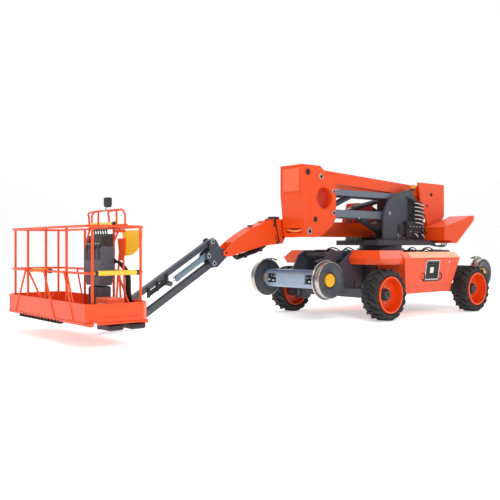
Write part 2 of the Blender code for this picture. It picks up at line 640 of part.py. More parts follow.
# ================================================================ turntable
def turntable():
    near = TURRET_Y + TURRET_NEAR_T
    pieces = [box(DECK_REAR, DECK_FRONT, -0.60, 0.40, DECK_Z0, DECK_Z1)]
    pieces.append(box(-0.97, -0.07, -0.96, -0.60 + BITE, DECK_Z0 + 0.02, DECK_Z1))
    low = DECK_Z1 - BITE
    curve = [(0.285, low), (0.285, 1.74), (0.24, 1.88), (0.14, 2.02), (-0.02, 2.13), (-0.33, TURRET_TOP),
             (-0.57, TURRET_TOP), (-1.11, low)]
    pieces.append(plate(curve, TURRET_Y, near))
    far = [(-0.24, low - BITE), (-0.24, 2.10), (-0.34, TURRET_TOP), (-0.57, TURRET_TOP), (-1.11, low - BITE)]
    pieces.append(plate(far, -TURRET_Y - TURRET_FAR_T, -TURRET_Y))
    pieces.append(box(-0.98, -0.94, -TURRET_Y - BITE / 2, TURRET_Y + BITE / 2, low - BITE, 1.50))
    pieces.append(across(LOWER_ROOT, -TURRET_Y - BITE, TURRET_Y + BITE, PIN_R))
    for side in (1, -1):
        stub = sorted((side * (LOWER_Y - LOWER_W / 2), side * (TURRET_Y + BITE)))
        pieces.append(across(LOWER_TIE_ROOT, *stub, PIN_R))
    for y in (0.062, -0.082):
        outline = bar_outline((LOWER_BASE[0], low), LOWER_BASE, 0.05, 0.05, 0.05)
        pieces.append(plate(outline, y, y + 0.02))
    pieces.append(across(LOWER_BASE, -0.07, 0.07, PIN_R))
    node("turntable", "turntable", "slate", pieces)
    outline = [(WEIGHT_FRONT, 1.312), (-1.155, 1.312), (-1.155, 1.262), (-1.34, 1.262), (WEIGHT_REAR, 1.71),
               (WEIGHT_REAR, 1.80), (-1.85, 1.80), (WEIGHT_FRONT, 1.56)]
    block = plate(outline, WEIGHT_RIGHT, WEIGHT_LEFT)
    notch = box(-1.74, -0.9, -0.62, near + FIT, 1.315, 1.9)
    upper_notch = box(-2.0, -1.7, -0.62, 0.27, 1.70, 1.9)
    front_notch = box(-1.157, -0.9, -0.62, near + FIT, 1.20, 1.9)
    node("counterweight", "turntable", "orange", [block], [notch, upper_notch, front_notch])
    node("valve_block", "turntable", "black", [box(-0.80, -0.30, near + FIT, near + 0.07, 1.38, 1.66)])
    node("fuel_tank", "turntable", "slate", [loft([(DECK_Z1 + FIT, -0.90, -0.09, -0.94, -0.615),
                                                   (1.64, -0.90, -0.09, -0.94, -0.615), (1.70, -0.86, -0.14, -0.90, -0.65)])])
    lamp = turned([(0, 2.26), (0.05, 2.26), (0.052, 2.33), (0.03, 2.36), (0, 2.36)], (-0.60, near - 0.02, 0),
                  (0, 0, 1), 16, False)
    foot = box(-0.64, -0.49, near - 0.035, near - 0.005, TURRET_TOP + FIT, TURRET_TOP + 0.012)
    node("beacon", "turntable", "yellow", [foot, pole_up(near), lamp])


def pole_up(near):
    return rod((-0.60, near - 0.02, TURRET_TOP + 0.005), (-0.60, near - 0.02, 2.27), 0.016)


# ================================================================ double parallelogram
def lower_lift():
    c = moved(LOWER_ROOT, (LOWER_LEN, 0))
    b = moved(LOWER_TIE_ROOT, (LOWER_LEN, 0))
    lug = (LOWER_LUG_X, LOWER_ROOT[1])
    half = LOWER_W / 2
    for name, first, last, height in (("lower_arm", LOWER_ROOT, c, LOWER_H / 2), ("lower_tie", LOWER_TIE_ROOT, b, LOWER_TIE_H / 2)):
        hole = [circle(first, bore(PIN_R)), circle(last, bore(PIN_R))]
        outline = bar_outline(first, last, height, height, height * 0.8)
        pieces = [plate(outline, y - half, y + half, hole) for y in (LOWER_Y, -LOWER_Y)]
        brace = toward(last, first, 0.14 if name == "lower_arm" else TIE_BRACE)
        pieces.append(across(brace, -LOWER_Y, LOWER_Y, 0.022))
        if name == "lower_arm":
            root = (lug[0] + 0.19, lug[1])
            pieces.append(across(root, -LOWER_Y, LOWER_Y, 0.035))
            pieces += ears(lug, root, 0.0, 0.04)
        node(name, name, "steel", pieces)
    cylinder("lower_lift", "lower_barrel", "lower_rod", LOWER_BASE, lug, 0.0, 0.80, 0.055, 0.03, 0.58)


def front_knuckle():
    """Two plates and a front plate, open at the rear."""
    c = moved(LOWER_ROOT, (LOWER_LEN, 0))
    b = moved(LOWER_TIE_ROOT, (LOWER_LEN, 0))
    out, inner = KNUCKLE_Y, KNUCKLE_Y - KNUCKLE_T
    outline = [(2.22, 1.35), (2.30, 2.05), (2.30, 2.53), (1.87, 2.53), (1.75, 2.44), (1.56, 2.36), (1.484, 2.26), (1.484, 1.68),
               (1.56, 1.56), (1.74, 1.42), (1.88, 1.36), (2.00, 1.35)]
    tunnel = circle((1.764, 2.0), 0.18, 20)
    pieces = [plate(outline, y, y + KNUCKLE_T, [tunnel]) for y in (inner, -out)]
    for side in (1, -1):
        ring = plate(circle((1.764, 2.0), 0.19, 20), *sorted((side * (inner - 0.045), side * (inner + BITE))),
                     [circle((1.764, 2.0), 0.178, 20)])
        pieces.append(ring)
    front = [(2.19, 1.351), (2.219, 1.351), (2.299, 2.05), (2.299, 2.529), (2.00, 2.529), (2.00, 2.50), (2.265, 2.50),
             (2.265, 2.05)]
    pieces.append(plate(front, -inner - BITE, inner + BITE))
    for pin in (b, c):
        for side in (1, -1):
            pieces.append(across(pin, *sorted((side * (LOWER_Y - LOWER_W / 2), side * (inner + BITE))), PIN_R))
    pieces.append(across(UPPER_ROOT, -inner - BITE, inner + BITE, 0.035))
    pieces.append(across(UPPER_BASE, -inner - BITE, inner + BITE, PIN_R))
    pieces.append(across((2.115, 1.444), -inner - BITE, inner + BITE, 0.045))
    tie = moved(UPPER_ROOT, UPPER_TIE_OFFSET)
    pieces.append(across(tie, UPPER_TIE_Y - UPPER_TIE_W / 2, inner + BITE, 0.018))
    slot = box(2.15, 2.4, -0.19, 0.19, 1.42, 1.50)
    node("front_knuckle", "front_knuckle", "orange", pieces, [slot])


def upper_lift():
    end = moved(UPPER_ROOT, UPPER_SPAN)
    outline = bar_outline(UPPER_ROOT, end, UPPER_ABOVE, UPPER_BELOW, 0.10)
    holes = [circle(UPPER_ROOT, bore(0.035)), circle(end, bore(0.035))]
    pieces = [plate(outline, -UPPER_Y, UPPER_Y, holes)]
    lug = upper_lug()
    root = (lug[0] - 0.10, lug[1] + UPPER_LUG_DROP)
    pieces += ears(lug, root, 0.0, 0.038)
    run = Vector(UPPER_SPAN)
    first, last = toward(UPPER_ROOT, end, 0.22), toward(end, UPPER_ROOT, 0.22)
    wall = 0.014
    hollow_outline = [(first[0], first[1] - UPPER_BELOW + wall), (last[0], last[1] - UPPER_BELOW + wall),
                      (last[0], last[1] + UPPER_ABOVE - wall), (first[0], first[1] + UPPER_ABOVE - wall)]
    cavity = plate(hollow_outline, -UPPER_Y + wall, UPPER_Y - wall)
    vent = box(last[0] + 0.03, last[0] + 0.09, -0.03, 0.03, last[1] - 0.2, last[1])
    node("upper_arm", "upper_arm", "orange", pieces, [cavity, vent])
    a, z = moved(UPPER_ROOT, UPPER_TIE_OFFSET), moved(end, UPPER_TIE_OFFSET)
    half = UPPER_TIE_H / 2
    tie = plate(bar_outline(a, z, half, half, half), UPPER_TIE_Y - UPPER_TIE_W / 2, UPPER_TIE_Y + UPPER_TIE_W / 2,
                [circle(a, bore(0.018)), circle(z, bore(0.018))])
    node("upper_tie", "upper_tie", "orange", [tie])
    cylinder("upper_lift", "upper_barrel", "upper_rod", UPPER_BASE, lug, 0.0, 1.22, 0.052, 0.028, 0.56)


def rear_knuckle():
    end = moved(UPPER_ROOT, UPPER_SPAN)
    out, inner = REAR_Y, REAR_Y - REAR_T
    outline = [(-0.83, 2.42), (-0.91, 2.02), (-1.08, 1.72), (-1.17, 1.42), (-1.26, 1.36), (-1.40, 1.38), (-1.50, 1.58), (-1.67, 1.80),
               (-1.67, 2.42)]
    pieces = [plate(outline, y, y + REAR_T) for y in (inner, -out)]
    pieces.append(box(-1.669, -1.63, -inner - BITE, inner + BITE, 1.82, 2.419))
    pieces.append(across(end, -inner - BITE, inner + BITE, 0.035))
    pieces.append(across(moved(end, UPPER_TIE_OFFSET), UPPER_TIE_Y - UPPER_TIE_W / 2, inner + BITE, 0.018))
    shelf = -0.56
    pieces.append(across(BOOM_PIVOT, shelf - OUTER_PLATE_T + BITE, -inner - BITE, 0.045, 16))
    pieces.append(across(BOOM_BASE, shelf - OUTER_PLATE_T + BITE, -inner - BITE, PIN_R))
    pieces.append(across((-1.56, 1.95), shelf - OUTER_PLATE_T + BITE, -inner - BITE, 0.04))
    outer = [(-1.10, 2.32), (-1.25, 2.34), (-1.62, 2.02), (-1.62, 1.88), (-1.42, 1.46), (-1.30, 1.40), (-1.19, 1.47),
             (-1.20, 1.62), (-1.12, 2.12)]
    pieces.append(plate(outer, shelf - OUTER_PLATE_T, shelf))
    node("rear_knuckle", "rear_knuckle", "orange", pieces)


# ================================================================ boom and jib
def boom():
    half_w, half_h = BOOM_W / 2, BOOM_H / 2
    pieces = [box(BOOM_TAIL_X, BOOM_HEAD_X - 0.02, BOOM_Y - half_w, BOOM_Y + half_w, BOOM_Z - half_h, BOOM_Z + half_h)]
    head = [(2.12, BOOM_Z + half_h - BITE), (2.20, 1.655), (2.39, 1.655), (2.30, 1.245), (2.20, 1.245),
            (2.12, BOOM_Z - half_h + BITE)]
    pieces.append(plate(head, BOOM_Y - half_w + 0.001, BOOM_Y + half_w - 0.001))
    pieces += [piece for piece in ears(BOOM_LUG, (BOOM_LUG[0] + 0.16, BOOM_Z + half_h - 0.04), BOOM_Y, 0.04)]
    core = box(-1.05, 2.6, BOOM_Y - half_w + BOOM_WALL, BOOM_Y + half_w - BOOM_WALL,
               BOOM_Z - half_h + BOOM_WALL, BOOM_Z + half_h - BOOM_WALL)
    hole = across(BOOM_PIVOT, BOOM_Y - 0.2, BOOM_Y + 0.17, (0.045 + RUN) / math.cos(math.pi / 16), 16)
    node("boom_outer", "boom", "orange", pieces, [core, hole])
    slim_w, slim_h = half_w - BOOM_WALL - RUN, half_h - BOOM_WALL - RUN
    pieces = [box(-0.95, 2.56, BOOM_Y - slim_w, BOOM_Y + slim_w, BOOM_Z - slim_h, BOOM_Z + slim_h)]
    nose = [(2.42, 1.63), (2.56, 1.60), (2.86, 1.50), (3.12, 1.36), (3.30, 1.24), (3.40, 1.155), (3.455, 1.12),
            (3.45, 1.06), (3.40, 1.035), (3.30, 1.045), (3.00, 1.12), (2.60, 1.21), (2.34, 1.235)]
    pieces.append(plate(nose, BOOM_Y - half_w, BOOM_Y + half_w))
    slit = box(3.26, 3.6, BOOM_Y - JIB_Y - SWING, BOOM_Y + JIB_Y + SWING, 0.9, 1.4)
    hollow = box(-1.1, 2.40, BOOM_Y - slim_w + 0.012, BOOM_Y + slim_w - 0.012, BOOM_Z - slim_h + 0.012, BOOM_Z + slim_h - 0.012)
    pin = across(JIB_PIVOT, BOOM_Y - half_w + BITE, BOOM_Y + half_w - BITE, PIN_R)
    inner = node("boom_inner_body", "telescope", "orange", pieces, [slit, hollow])
    rebuild = bake(inner)
    node("boom_inner", "telescope", "orange", [rebuild, pin])
    cylinder("boom_lift", "boom_barrel", "boom_rod", BOOM_BASE, BOOM_LUG, BOOM_Y, 1.55, 0.052, 0.028, 0.70)


def jib():
    upper_end, lower_end = moved(JIB_UPPER, JIB_SPAN), moved(JIB_LOWER, JIB_SPAN)
    side = JIB_Y - JIB_PLATE_T
    outline = [(3.34, 1.14), (3.36, 1.04), (3.46, 0.96), (3.55, 0.88), (3.66, 0.87), (3.69, 0.96), (3.78, 1.02), (3.77, 1.09),
               (3.70, 1.14), (3.71, 1.30), (3.65, 1.33), (3.58, 1.30), (3.50, 1.17), (3.40, 1.16)]
    hole = [circle(JIB_PIVOT, bore(PIN_R))]
    pieces = [plate(outline, BOOM_Y + s, BOOM_Y + s + JIB_PLATE_T, hole) for s in (side, -JIB_Y)]
    for pin in (JIB_UPPER, JIB_LOWER, JIB_BASE):
        pieces.append(across(pin, BOOM_Y - side - BITE, BOOM_Y + side + BITE, PIN_R))
    pieces.append(box(3.50, 3.54, BOOM_Y - side - BITE, BOOM_Y + side + BITE, 1.00, 1.12))
    node("jib_knuckle", "jib_knuckle", "slate", pieces)
    half, wide = JIB_BAR_H / 2, JIB_BAR_W / 2
    for name, first, last in (("jib_upper", JIB_UPPER, upper_end), ("jib_lower", JIB_LOWER, lower_end)):
        holes = [circle(first, bore(PIN_R)), circle(last, bore(PIN_R))]
        outline = bar_outline(first, last, half, half, half * 1.3)
        if name == "jib_lower":
            pieces = [plate(outline, BOOM_Y + s, BOOM_Y + s + JIB_STRAP_T, holes) for s in (JIB_STRAP_Y, -JIB_STRAP_Y - JIB_STRAP_T)]
            brace = toward(first, last, 1.25)
            pieces.append(across(brace, BOOM_Y - JIB_STRAP_Y - BITE, BOOM_Y + JIB_STRAP_Y + BITE, 0.025))
        else:
            pieces = [plate(outline, BOOM_Y - wide, BOOM_Y + wide, holes)]
            root = toward(first, last, 1.08)
            pieces += ears(JIB_LUG, root, BOOM_Y, 0.036, 0.026, 0.014)
        node(name + "_bar", name, "slate", pieces)
    cylinder("jib_lift", "jib_barrel", "jib_rod", JIB_BASE, JIB_LUG, BOOM_Y, 0.66, 0.045, 0.024, 0.42)
    post = [(upper_end[0] - 0.06, upper_end[1] + 0.04), (upper_end[0] - 0.02, upper_end[1] + 0.06),
            (upper_end[0] + 0.06, upper_end[1] + 0.04), (upper_end[0] + 0.09, 0.30), (5.27, 0.185), (SWIVEL_X - 0.02, 0.18),
            (SWIVEL_X - 0.02, 0.08), (lower_end[0] + 0.04, 0.055), (lower_end[0] - 0.06, 0.075),
            (lower_end[0] - 0.06, 0.17)]
    pieces = [plate(post, BOOM_Y + s, BOOM_Y + s + JIB_PLATE_T) for s in (side, -JIB_Y)]
    for pin in (upper_end, lower_end):
        pieces.append(across(pin, BOOM_Y - side - BITE, BOOM_Y + side + BITE, PIN_R, 14))
    pieces.append(box(5.16, 5.41, BOOM_Y - side - BITE / 2, BOOM_Y + side + BITE / 2, 0.095, 0.17))
    pieces.append(rod((SWIVEL_X, BOOM_Y, SWIVEL_Z[0]), (SWIVEL_X, BOOM_Y, SWIVEL_Z[1]), SWIVEL_R, 24))
    node("jib_end", "jib_end", "slate", pieces)


# ================================================================ basket
def basket_outline(inset):
    """Plan of the floor with cut corners, shrunk by an inset."""
    x0, x1 = BASKET_REAR + inset, BASKET_REAR + BASKET_DEPTH - inset
    y0, y1 = BASKET_Y - BASKET_WIDTH / 2 + inset, BASKET_Y + BASKET_WIDTH / 2 - inset
    c = CORNER
    return [(x0 + c, y0), (x1 - c, y0), (x1, y0 + c), (x1, y1 - c), (x1 - c, y1), (x0 + c, y1), (x0, y1 - c), (x0, y0 + c)]


def basket():
    """Floor with toe boards and swivel plate, then rails, console, shield and entry bar."""
    low = FLOOR_Z - FLOOR_T
    pieces = [plate(basket_outline(0.001), low, FLOOR_Z, plane="XY")]
    pieces.append(plate(basket_outline(0), low + 0.002, FLOOR_Z + TOE_H, [basket_outline(TOE_T)], plane="XY"))
    pieces.append(box(*TREAD_X, *TREAD_Y, FLOOR_Z - BITE / 2, FLOOR_Z + TREAD_T))
    swivel_top = SWIVEL_Z[1] + FIT
    pieces.append(rod((SWIVEL_X, BOOM_Y, swivel_top), (SWIVEL_X, BOOM_Y, swivel_top + 0.05), SWIVEL_R, 24))
    pieces.append(box(SWIVEL_X - 0.05, BASKET_REAR + 0.50, BOOM_Y - 0.06, BOOM_Y + 0.06, swivel_top + 0.04, low + 0.004))
    x0, x1 = BASKET_REAR + 0.02, BASKET_REAR + BASKET_DEPTH - 0.02
    y0, y1 = BASKET_Y - BASKET_WIDTH / 2 + 0.02, BASKET_Y + BASKET_WIDTH / 2 - 0.02
    for x in (x0 + 0.03, x1 - 0.03):
        pieces.append(box(x - 0.025, x + 0.025, y0, y1, low - 0.04, low + 0.004))
    node("basket_floor", "basket", "orange", pieces)
    rails(x0 + 0.02, x1 - 0.02, y0 + 0.02, y1 - 0.02)
    controls(x0)


def rails(x0, x1, y0, y1):
    base, top, mid = FLOOR_Z + FIT, FLOOR_Z + RAIL_H, FLOOR_Z + RAIL_H / 2
    r = RAIL_R
    spread = (y0, y0 + 0.62, y0 + 1.20, y0 + 1.80, y1)
    c = 0.10
    h = c / 2
    posts = [(x1, y) for y in spread[1:-1]] + [(x0, y0 + 0.80), (x0, y1 - 0.80)]
    posts += [(x, y) for x in (x0 + h, x1 - h) for y in (y0 + h, y1 - h)]
    pieces = [rod((x, y, base), (x, y, top), r, 8) for x, y in posts]
    for z, closed in ((top, True), (mid, False)):
        loop = [(x0, y1 - c, z), (x0 + c, y1, z), (x1 - c, y1, z), (x1, y1 - c, z), (x1, y0 + c, z), (x1 - c, y0, z),
                (x0 + c, y0, z), (x0, y0 + c, z)]
        if closed:
            pieces.append(tube(loop, r, True))
        else:
            pieces.append(tube([(x1 - h, y1 - h, z), *loop[3:], (x0, y1 - c, z), (x0 + h, y1 - h, z)], r, False))
    for y in (y0 + 0.62, y0 + 1.80):
        pieces.append(rod((x1, y, mid), (x1, y + 0.62 * (0.4 if y > BASKET_Y else 1), base + 0.03), 0.013, 8))
    node("basket_rails", "basket", "orange", pieces)
    bar = rod((x0 + h + r + RUN, y1 - h, mid), (x1 - h - r - RUN, y1 - h, mid), 0.022, 12)
    node("entry_bar", "entry_bar", "yellow", [bar])


def controls(x0):
    """Console on its column, the hoops round it, and the shield."""
    base = FLOOR_Z + FIT
    yc = 0.10
    x = x0 + 0.09
    pieces = [box(x, x + 0.14, yc - 0.12, yc + 0.10, base, base + 0.55)]
    pieces.append(loft([(base + 0.50, x + 0.01, x + 0.15, yc - 0.14, yc + 0.12), (base + 0.62, x, x + 0.20, yc - 0.24, yc + 0.20),
                        (base + 0.90, x, x + 0.20, yc - 0.24, yc + 0.20), (base + 1.02, x, x + 0.12, yc - 0.24, yc + 0.20)]))
    node("console", "basket", "black", pieces)
    r = 0.014
    back = x0
    z = FLOOR_Z + RAIL_H + RAIL_R + 0.02
    pieces = [tube([(back + 0.02, yc - 0.55, z), (back + 0.02, yc - 0.55, z + 0.14), (back + 0.02, yc - 0.48, z + 0.20),
                    (back + 0.02, yc + 0.28, z + 0.20), (back + 0.02, yc + 0.35, z + 0.14), (back + 0.02, yc + 0.35, z)], r)]
    pieces.append(box(back, back + 0.04, yc - 0.58, yc + 0.38, z - 0.0197, z + 0.012))
    node("console_guard", "basket", "orange", pieces)
    quarter = [(0.42, 1.40), (0.90, 1.40), (0.905, 1.33), (0.86, 1.22), (0.77, 1.14), (0.64, 1.09), (0.48, 1.08)]
    skin = plate(quarter, x0 + 0.02 + RAIL_R + FIT, x0 + 0.02 + RAIL_R + 0.008, plane="YZ")
    node("shield", "basket", "yellow", [skin])


def centre_on_base():
    """Move everything so that the origin is the middle of the footprint box."""
    bpy.context.view_layer.update()
    corners = []
    for item in PARTS.objects:
        if item.type == "MESH":
            flat = np.empty(len(item.data.vertices) * 3)
            item.data.vertices.foreach_get("co", flat)
            corners.append(flat.reshape(-1, 3) + np.array(item.matrix_world.translation))
    points = np.vstack(corners)
    middle = (points.min(0) + points.max(0)) / 2
    BODY["chassis"][0].location = (-middle[0], -middle[1], -points[:, 2].min())


bodies()
chassis()
side_covers()
axles()
wheels()
rail_gear()
turntable()
lower_lift()
front_knuckle()
upper_lift()
rear_knuckle()
boom()
jib()
basket()
centre_on_base()
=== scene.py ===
"""Looks of a road-rail articulating boom lift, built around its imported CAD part.

Every length is in metres. Points are written from the slew axis on the ground, +X towards the basket, and
moved by Machine.origin into the part's own frame. Each assembly is a dataclass whose methods compute the
meshes as whole arrays and dress them with a finish.
"""
import json
import logging
import math
from dataclasses import dataclass, field
from enum import Enum
from typing import Any, Iterable, Sequence

import bpy
import numpy as np
from mathutils import Matrix, Vector


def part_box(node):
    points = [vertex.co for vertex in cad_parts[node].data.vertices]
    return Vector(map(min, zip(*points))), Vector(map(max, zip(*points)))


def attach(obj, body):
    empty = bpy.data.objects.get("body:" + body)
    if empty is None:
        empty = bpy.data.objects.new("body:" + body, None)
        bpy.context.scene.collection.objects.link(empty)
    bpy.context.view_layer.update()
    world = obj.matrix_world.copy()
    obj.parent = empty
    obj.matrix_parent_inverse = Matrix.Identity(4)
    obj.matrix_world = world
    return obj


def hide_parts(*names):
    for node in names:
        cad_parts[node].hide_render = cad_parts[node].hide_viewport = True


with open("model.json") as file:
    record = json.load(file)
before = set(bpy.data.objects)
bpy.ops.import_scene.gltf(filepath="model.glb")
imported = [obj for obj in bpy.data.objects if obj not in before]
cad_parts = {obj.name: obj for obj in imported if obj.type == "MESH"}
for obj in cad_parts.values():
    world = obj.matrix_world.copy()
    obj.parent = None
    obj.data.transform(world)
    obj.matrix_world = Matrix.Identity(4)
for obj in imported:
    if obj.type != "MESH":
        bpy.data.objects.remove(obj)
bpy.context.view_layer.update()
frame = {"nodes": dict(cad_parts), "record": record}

logging.basicConfig(level=logging.INFO, format="%(levelname)s %(message)s")
log = logging.getLogger("boom_lift")

Point = Sequence[float]
Grid = np.ndarray


class Slot(str, Enum):
    """Material slots of the record."""

    ORANGE = "orange"
    SLATE = "slate"
    STEEL = "steel"
    BLACK = "black"
    RUBBER = "rubber"
    YELLOW = "yellow"
    CHROME = "chrome"


# ---------------------------------------------------------------- colour and node helpers
def hex_colour(code: str) -> tuple[float, float, float, float]:
    """Turn an sRGB hex colour into scene-linear values.

    Each channel c in 0..1 becomes c / 12.92 up to 0.04045, and ((c + 0.055) / 1.055) ** 2.4 above it.

    Args:
        code: Six hex digits after a hash.

    Returns:
        Linear red, green, blue and an alpha of one.
    """
    c = np.array([int(code[i:i + 2], 16) for i in (1, 3, 5)]) / 255
    linear = np.where(c <= 0.04045, c / 12.92, ((c + 0.055) / 1.055) ** 2.4)
    return (*map(float, linear), 1.0)


def add(tree: bpy.types.NodeTree, kind: str, links: dict[Any, Any] | None = None,
        **settings: Any) -> bpy.types.Node:
    """Add one shader node with its settings and its links.

    Args:
        tree: Node tree that receives the node.
        kind: Node type without its ShaderNode prefix.
        links: Input name or index to the socket that feeds it, or to a constant for that input.
        settings: Attributes of the node, such as operation or blend_type.

    Returns:
        The new node.
    """
    node = tree.nodes.new("ShaderNode" + kind)
    for name, value in settings.items():
        setattr(node, name, value)
    for name, source in (links or {}).items():
        if isinstance(source, bpy.types.NodeSocket):
            tree.links.new(source, node.inputs[name])
        else:
            node.inputs[name].default_value = source
    return node


@dataclass(frozen=True)
class Finish:
    """A surface finish, and the parts that the finishes share."""

    name: str
    colour: str
    roughness: float = 0.5
    metallic: float = 0.0
    slot: Slot = Slot.BLACK

    def coordinates(self, tree: bpy.types.NodeTree) -> bpy.types.NodeSocket:
        """Object coordinates in metres.

        Args:
            tree: The material's tree.

        Returns:
            The coordinate socket.
        """
        return add(tree, "TexCoord").outputs["Object"]

    def noise(self, tree: bpy.types.NodeTree, millimetres: float,
              detail: float = 3.0) -> bpy.types.NodeSocket:
        """Noise whose features are about the given size.

        Args:
            tree: The material's tree.
            millimetres: Feature size.
            detail: Octaves.

        Returns:
            The noise value, about 0.5 on average.
        """
        links = {"Vector": self.coordinates(tree), "Scale": 1000 / millimetres, "Detail": detail}
        return add(tree, "TexNoise", links).outputs["Fac"]

    def spread(self, tree: bpy.types.NodeTree, value: Any, low: float, high: float, start: float = 0.3,
               end: float = 0.7) -> bpy.types.NodeSocket:
        """Map a value between two limits onto another pair, clamped.

        Args:
            tree: The material's tree.
            value: Socket to map.
            low: Result at start.
            high: Result at end.
            start: Value that gives low.
            end: Value that gives high.

        Returns:
            The mapped socket.
        """
        node = add(tree, "MapRange",
                   {"Value": value, "From Min": start, "From Max": end, "To Min": low, "To Max": high})
        return node.outputs["Result"]

    def tint(self, tree: bpy.types.NodeTree, share: Any, first: Any, second: Any) -> bpy.types.NodeSocket:
        """Mix two colours by a share.

        Args:
            tree: The material's tree.
            share: Socket or constant, 0 for the first colour.
            first: First colour.
            second: Second colour.

        Returns:
            The mixed colour socket.
        """
        return add(tree, "Mix", {0: share, 6: first, 7: second}, data_type="RGBA").outputs[2]

    def relief(self, tree: bpy.types.NodeTree, height: Any, metres: float) -> bpy.types.NodeSocket:
        """Bump a rounded edge normal by a height map.

        Args:
            tree: The material's tree.
            height: Height socket from 0 to 1.
            metres: Depth that a height of one stands for.

        Returns:
            The normal socket.
        """
        soft = add(tree, "Bevel", {"Radius": 0.004}, samples=4)
        return add(tree, "Bump", {"Height": height, "Distance": metres, "Strength": 1.0,
                                  "Normal": soft.outputs["Normal"]}).outputs["Normal"]

    def layers(self, tree: bpy.types.NodeTree) -> dict[str, Any]:
        """Shader inputs that this finish sets beyond its constants.

        Args:
            tree: The material's tree.

        Returns:
            Principled input name to socket or constant.
        """
        return {}

    def build(self) -> bpy.types.Material:
        """Make the material once, and return it again on later calls.

        Returns:
            The Blender material.
        """
        found = bpy.data.materials.get(self.name)
        if found and found.get("made_here"):
            return found
        material = bpy.data.materials.new(self.name)
        material["made_here"] = True
        material.use_nodes = True
        tree = material.node_tree
        tree.nodes.clear()
        inputs = {"Base Color": hex_colour(self.colour), "Roughness": self.roughness,
                  "Metallic": self.metallic, "IOR": 1.5}
        inputs.update(self.layers(tree))
        shader = add(tree, "BsdfPrincipled", inputs)
        add(tree, "OutputMaterial", {"Surface": shader.outputs[0]})
        material.diffuse_color = hex_colour(self.colour)
        return material


@dataclass(frozen=True)
class PowderCoat(Finish):
    """Polyester powder coat on steel: fine orange peel under a clear sheen, and road dust low on the machine.

    The eye sees soft waves in the highlights, slightly uneven colour and a paler film near the ground.
    """

    dust: str = "#9A8F84"
    film: float = 0.05
    coat: float = 0.15

    def layers(self, tree: bpy.types.NodeTree) -> dict[str, Any]:
        """Uneven coat with dust that thickens towards the ground, and orange peel in the highlights.

        Args:
            tree: The material's tree.

        Returns:
            Principled input name to socket or constant.
        """
        base = self.tint(tree, self.spread(tree, self.noise(tree, 900, 2), 0.0, 0.06),
                         hex_colour(self.colour), hex_colour(self.dust))
        height = add(tree, "SeparateXYZ", {"Vector": self.coordinates(tree)}).outputs["Z"]
        low = self.spread(tree, height, self.film, 0.0, 0.1, 0.9)
        film = add(tree, "Math", {0: low, 1: self.spread(tree, self.noise(tree, 60, 5), 0.2, 1.0)},
                   operation="MULTIPLY")
        colour = self.tint(tree, film.outputs[0], base, hex_colour(self.dust))
        rough = self.spread(tree, self.noise(tree, 25, 4), self.roughness - 0.05, self.roughness + 0.08)
        return {"Base Color": colour, "Roughness": rough, "Coat Weight": self.coat, "Coat Roughness": 0.12,
                "Normal": self.relief(tree, self.noise(tree, 4, 1), 0.00006)}


@dataclass(frozen=True)
class TwoTone(PowderCoat):
    """Powder-coated arms under a pale bare beam: the second colour starts past a line along X."""

    second: str = "#A3B6CB"
    line: float = 0.12
    way: int = 1

    def layers(self, tree: bpy.types.NodeTree) -> dict[str, Any]:
        """The coat of the arms up to the line, and bare pale steel past it.

        Args:
            tree: The material's tree.

        Returns:
            Principled input name to socket or constant.
        """
        inputs = super().layers(tree)
        x = add(tree, "SeparateXYZ", {"Vector": self.coordinates(tree)}).outputs["X"]
        share = self.spread(tree, x, 0.0, 1.0, self.line, self.line + self.way * 0.004)
        pale = self.tint(tree, self.spread(tree, self.noise(tree, 80, 4), 0.0, 0.25), hex_colour(self.second),
                         hex_colour("#5F6670"))
        inputs["Base Color"] = self.tint(tree, share, inputs["Base Color"], pale)
        inputs["Metallic"] = self.spread(tree, share, 0.0, 0.5, 0.0, 1.0)
        return inputs


@dataclass(frozen=True)
class VulcanisedRubber(Finish):
    """Vulcanised rubber of tyres and hoses: near black, dull, with grey dust held in its pores."""

    dust: str = "#5B5752"
    share: float = 0.35

    def layers(self, tree: bpy.types.NodeTree) -> dict[str, Any]:
        """Grey dust flecks, uneven dullness and pores.

        Args:
            tree: The material's tree.

        Returns:
            Principled input name to socket or constant.
        """
        fleck = self.spread(tree, self.noise(tree, 30, 6), 0.0, self.share, 0.42, 0.75)
        return {"Base Color": self.tint(tree, fleck, hex_colour(self.colour), hex_colour(self.dust)),
                "Roughness": self.spread(tree, self.noise(tree, 12, 4), self.roughness - 0.1,
                                         self.roughness + 0.1),
                "Normal": self.relief(tree, self.noise(tree, 2.5, 3), 0.00015)}


@dataclass(frozen=True)
class RolledSteel(Finish):
    """Machined or worn steel: bright metal with faint brushed streaks round it and a little brown grime."""

    grime: str = "#5A4C40"
    share: float = 0.25
    stretch: float = 12.0

    def layers(self, tree: bpy.types.NodeTree) -> dict[str, Any]:
        """Brushed streaks in the shine and the surface, and patches of grime.

        Args:
            tree: The material's tree.

        Returns:
            Principled input name to socket or constant.
        """
        mapped = add(tree, "Mapping", {"Vector": self.coordinates(tree), "Scale": (1.0, self.stretch, 1.0)})
        streak = add(tree, "TexNoise",
                     {"Vector": mapped.outputs[0], "Scale": 60.0, "Detail": 4.0}).outputs["Fac"]
        dirt = self.spread(tree, self.noise(tree, 70, 5), 0.0, self.share, 0.45, 0.7)
        return {"Base Color": self.tint(tree, dirt, hex_colour(self.colour), hex_colour(self.grime)),
                "Roughness": self.spread(tree, streak, self.roughness - 0.08, self.roughness + 0.15),
                "Normal": self.relief(tree, streak, 0.00005)}


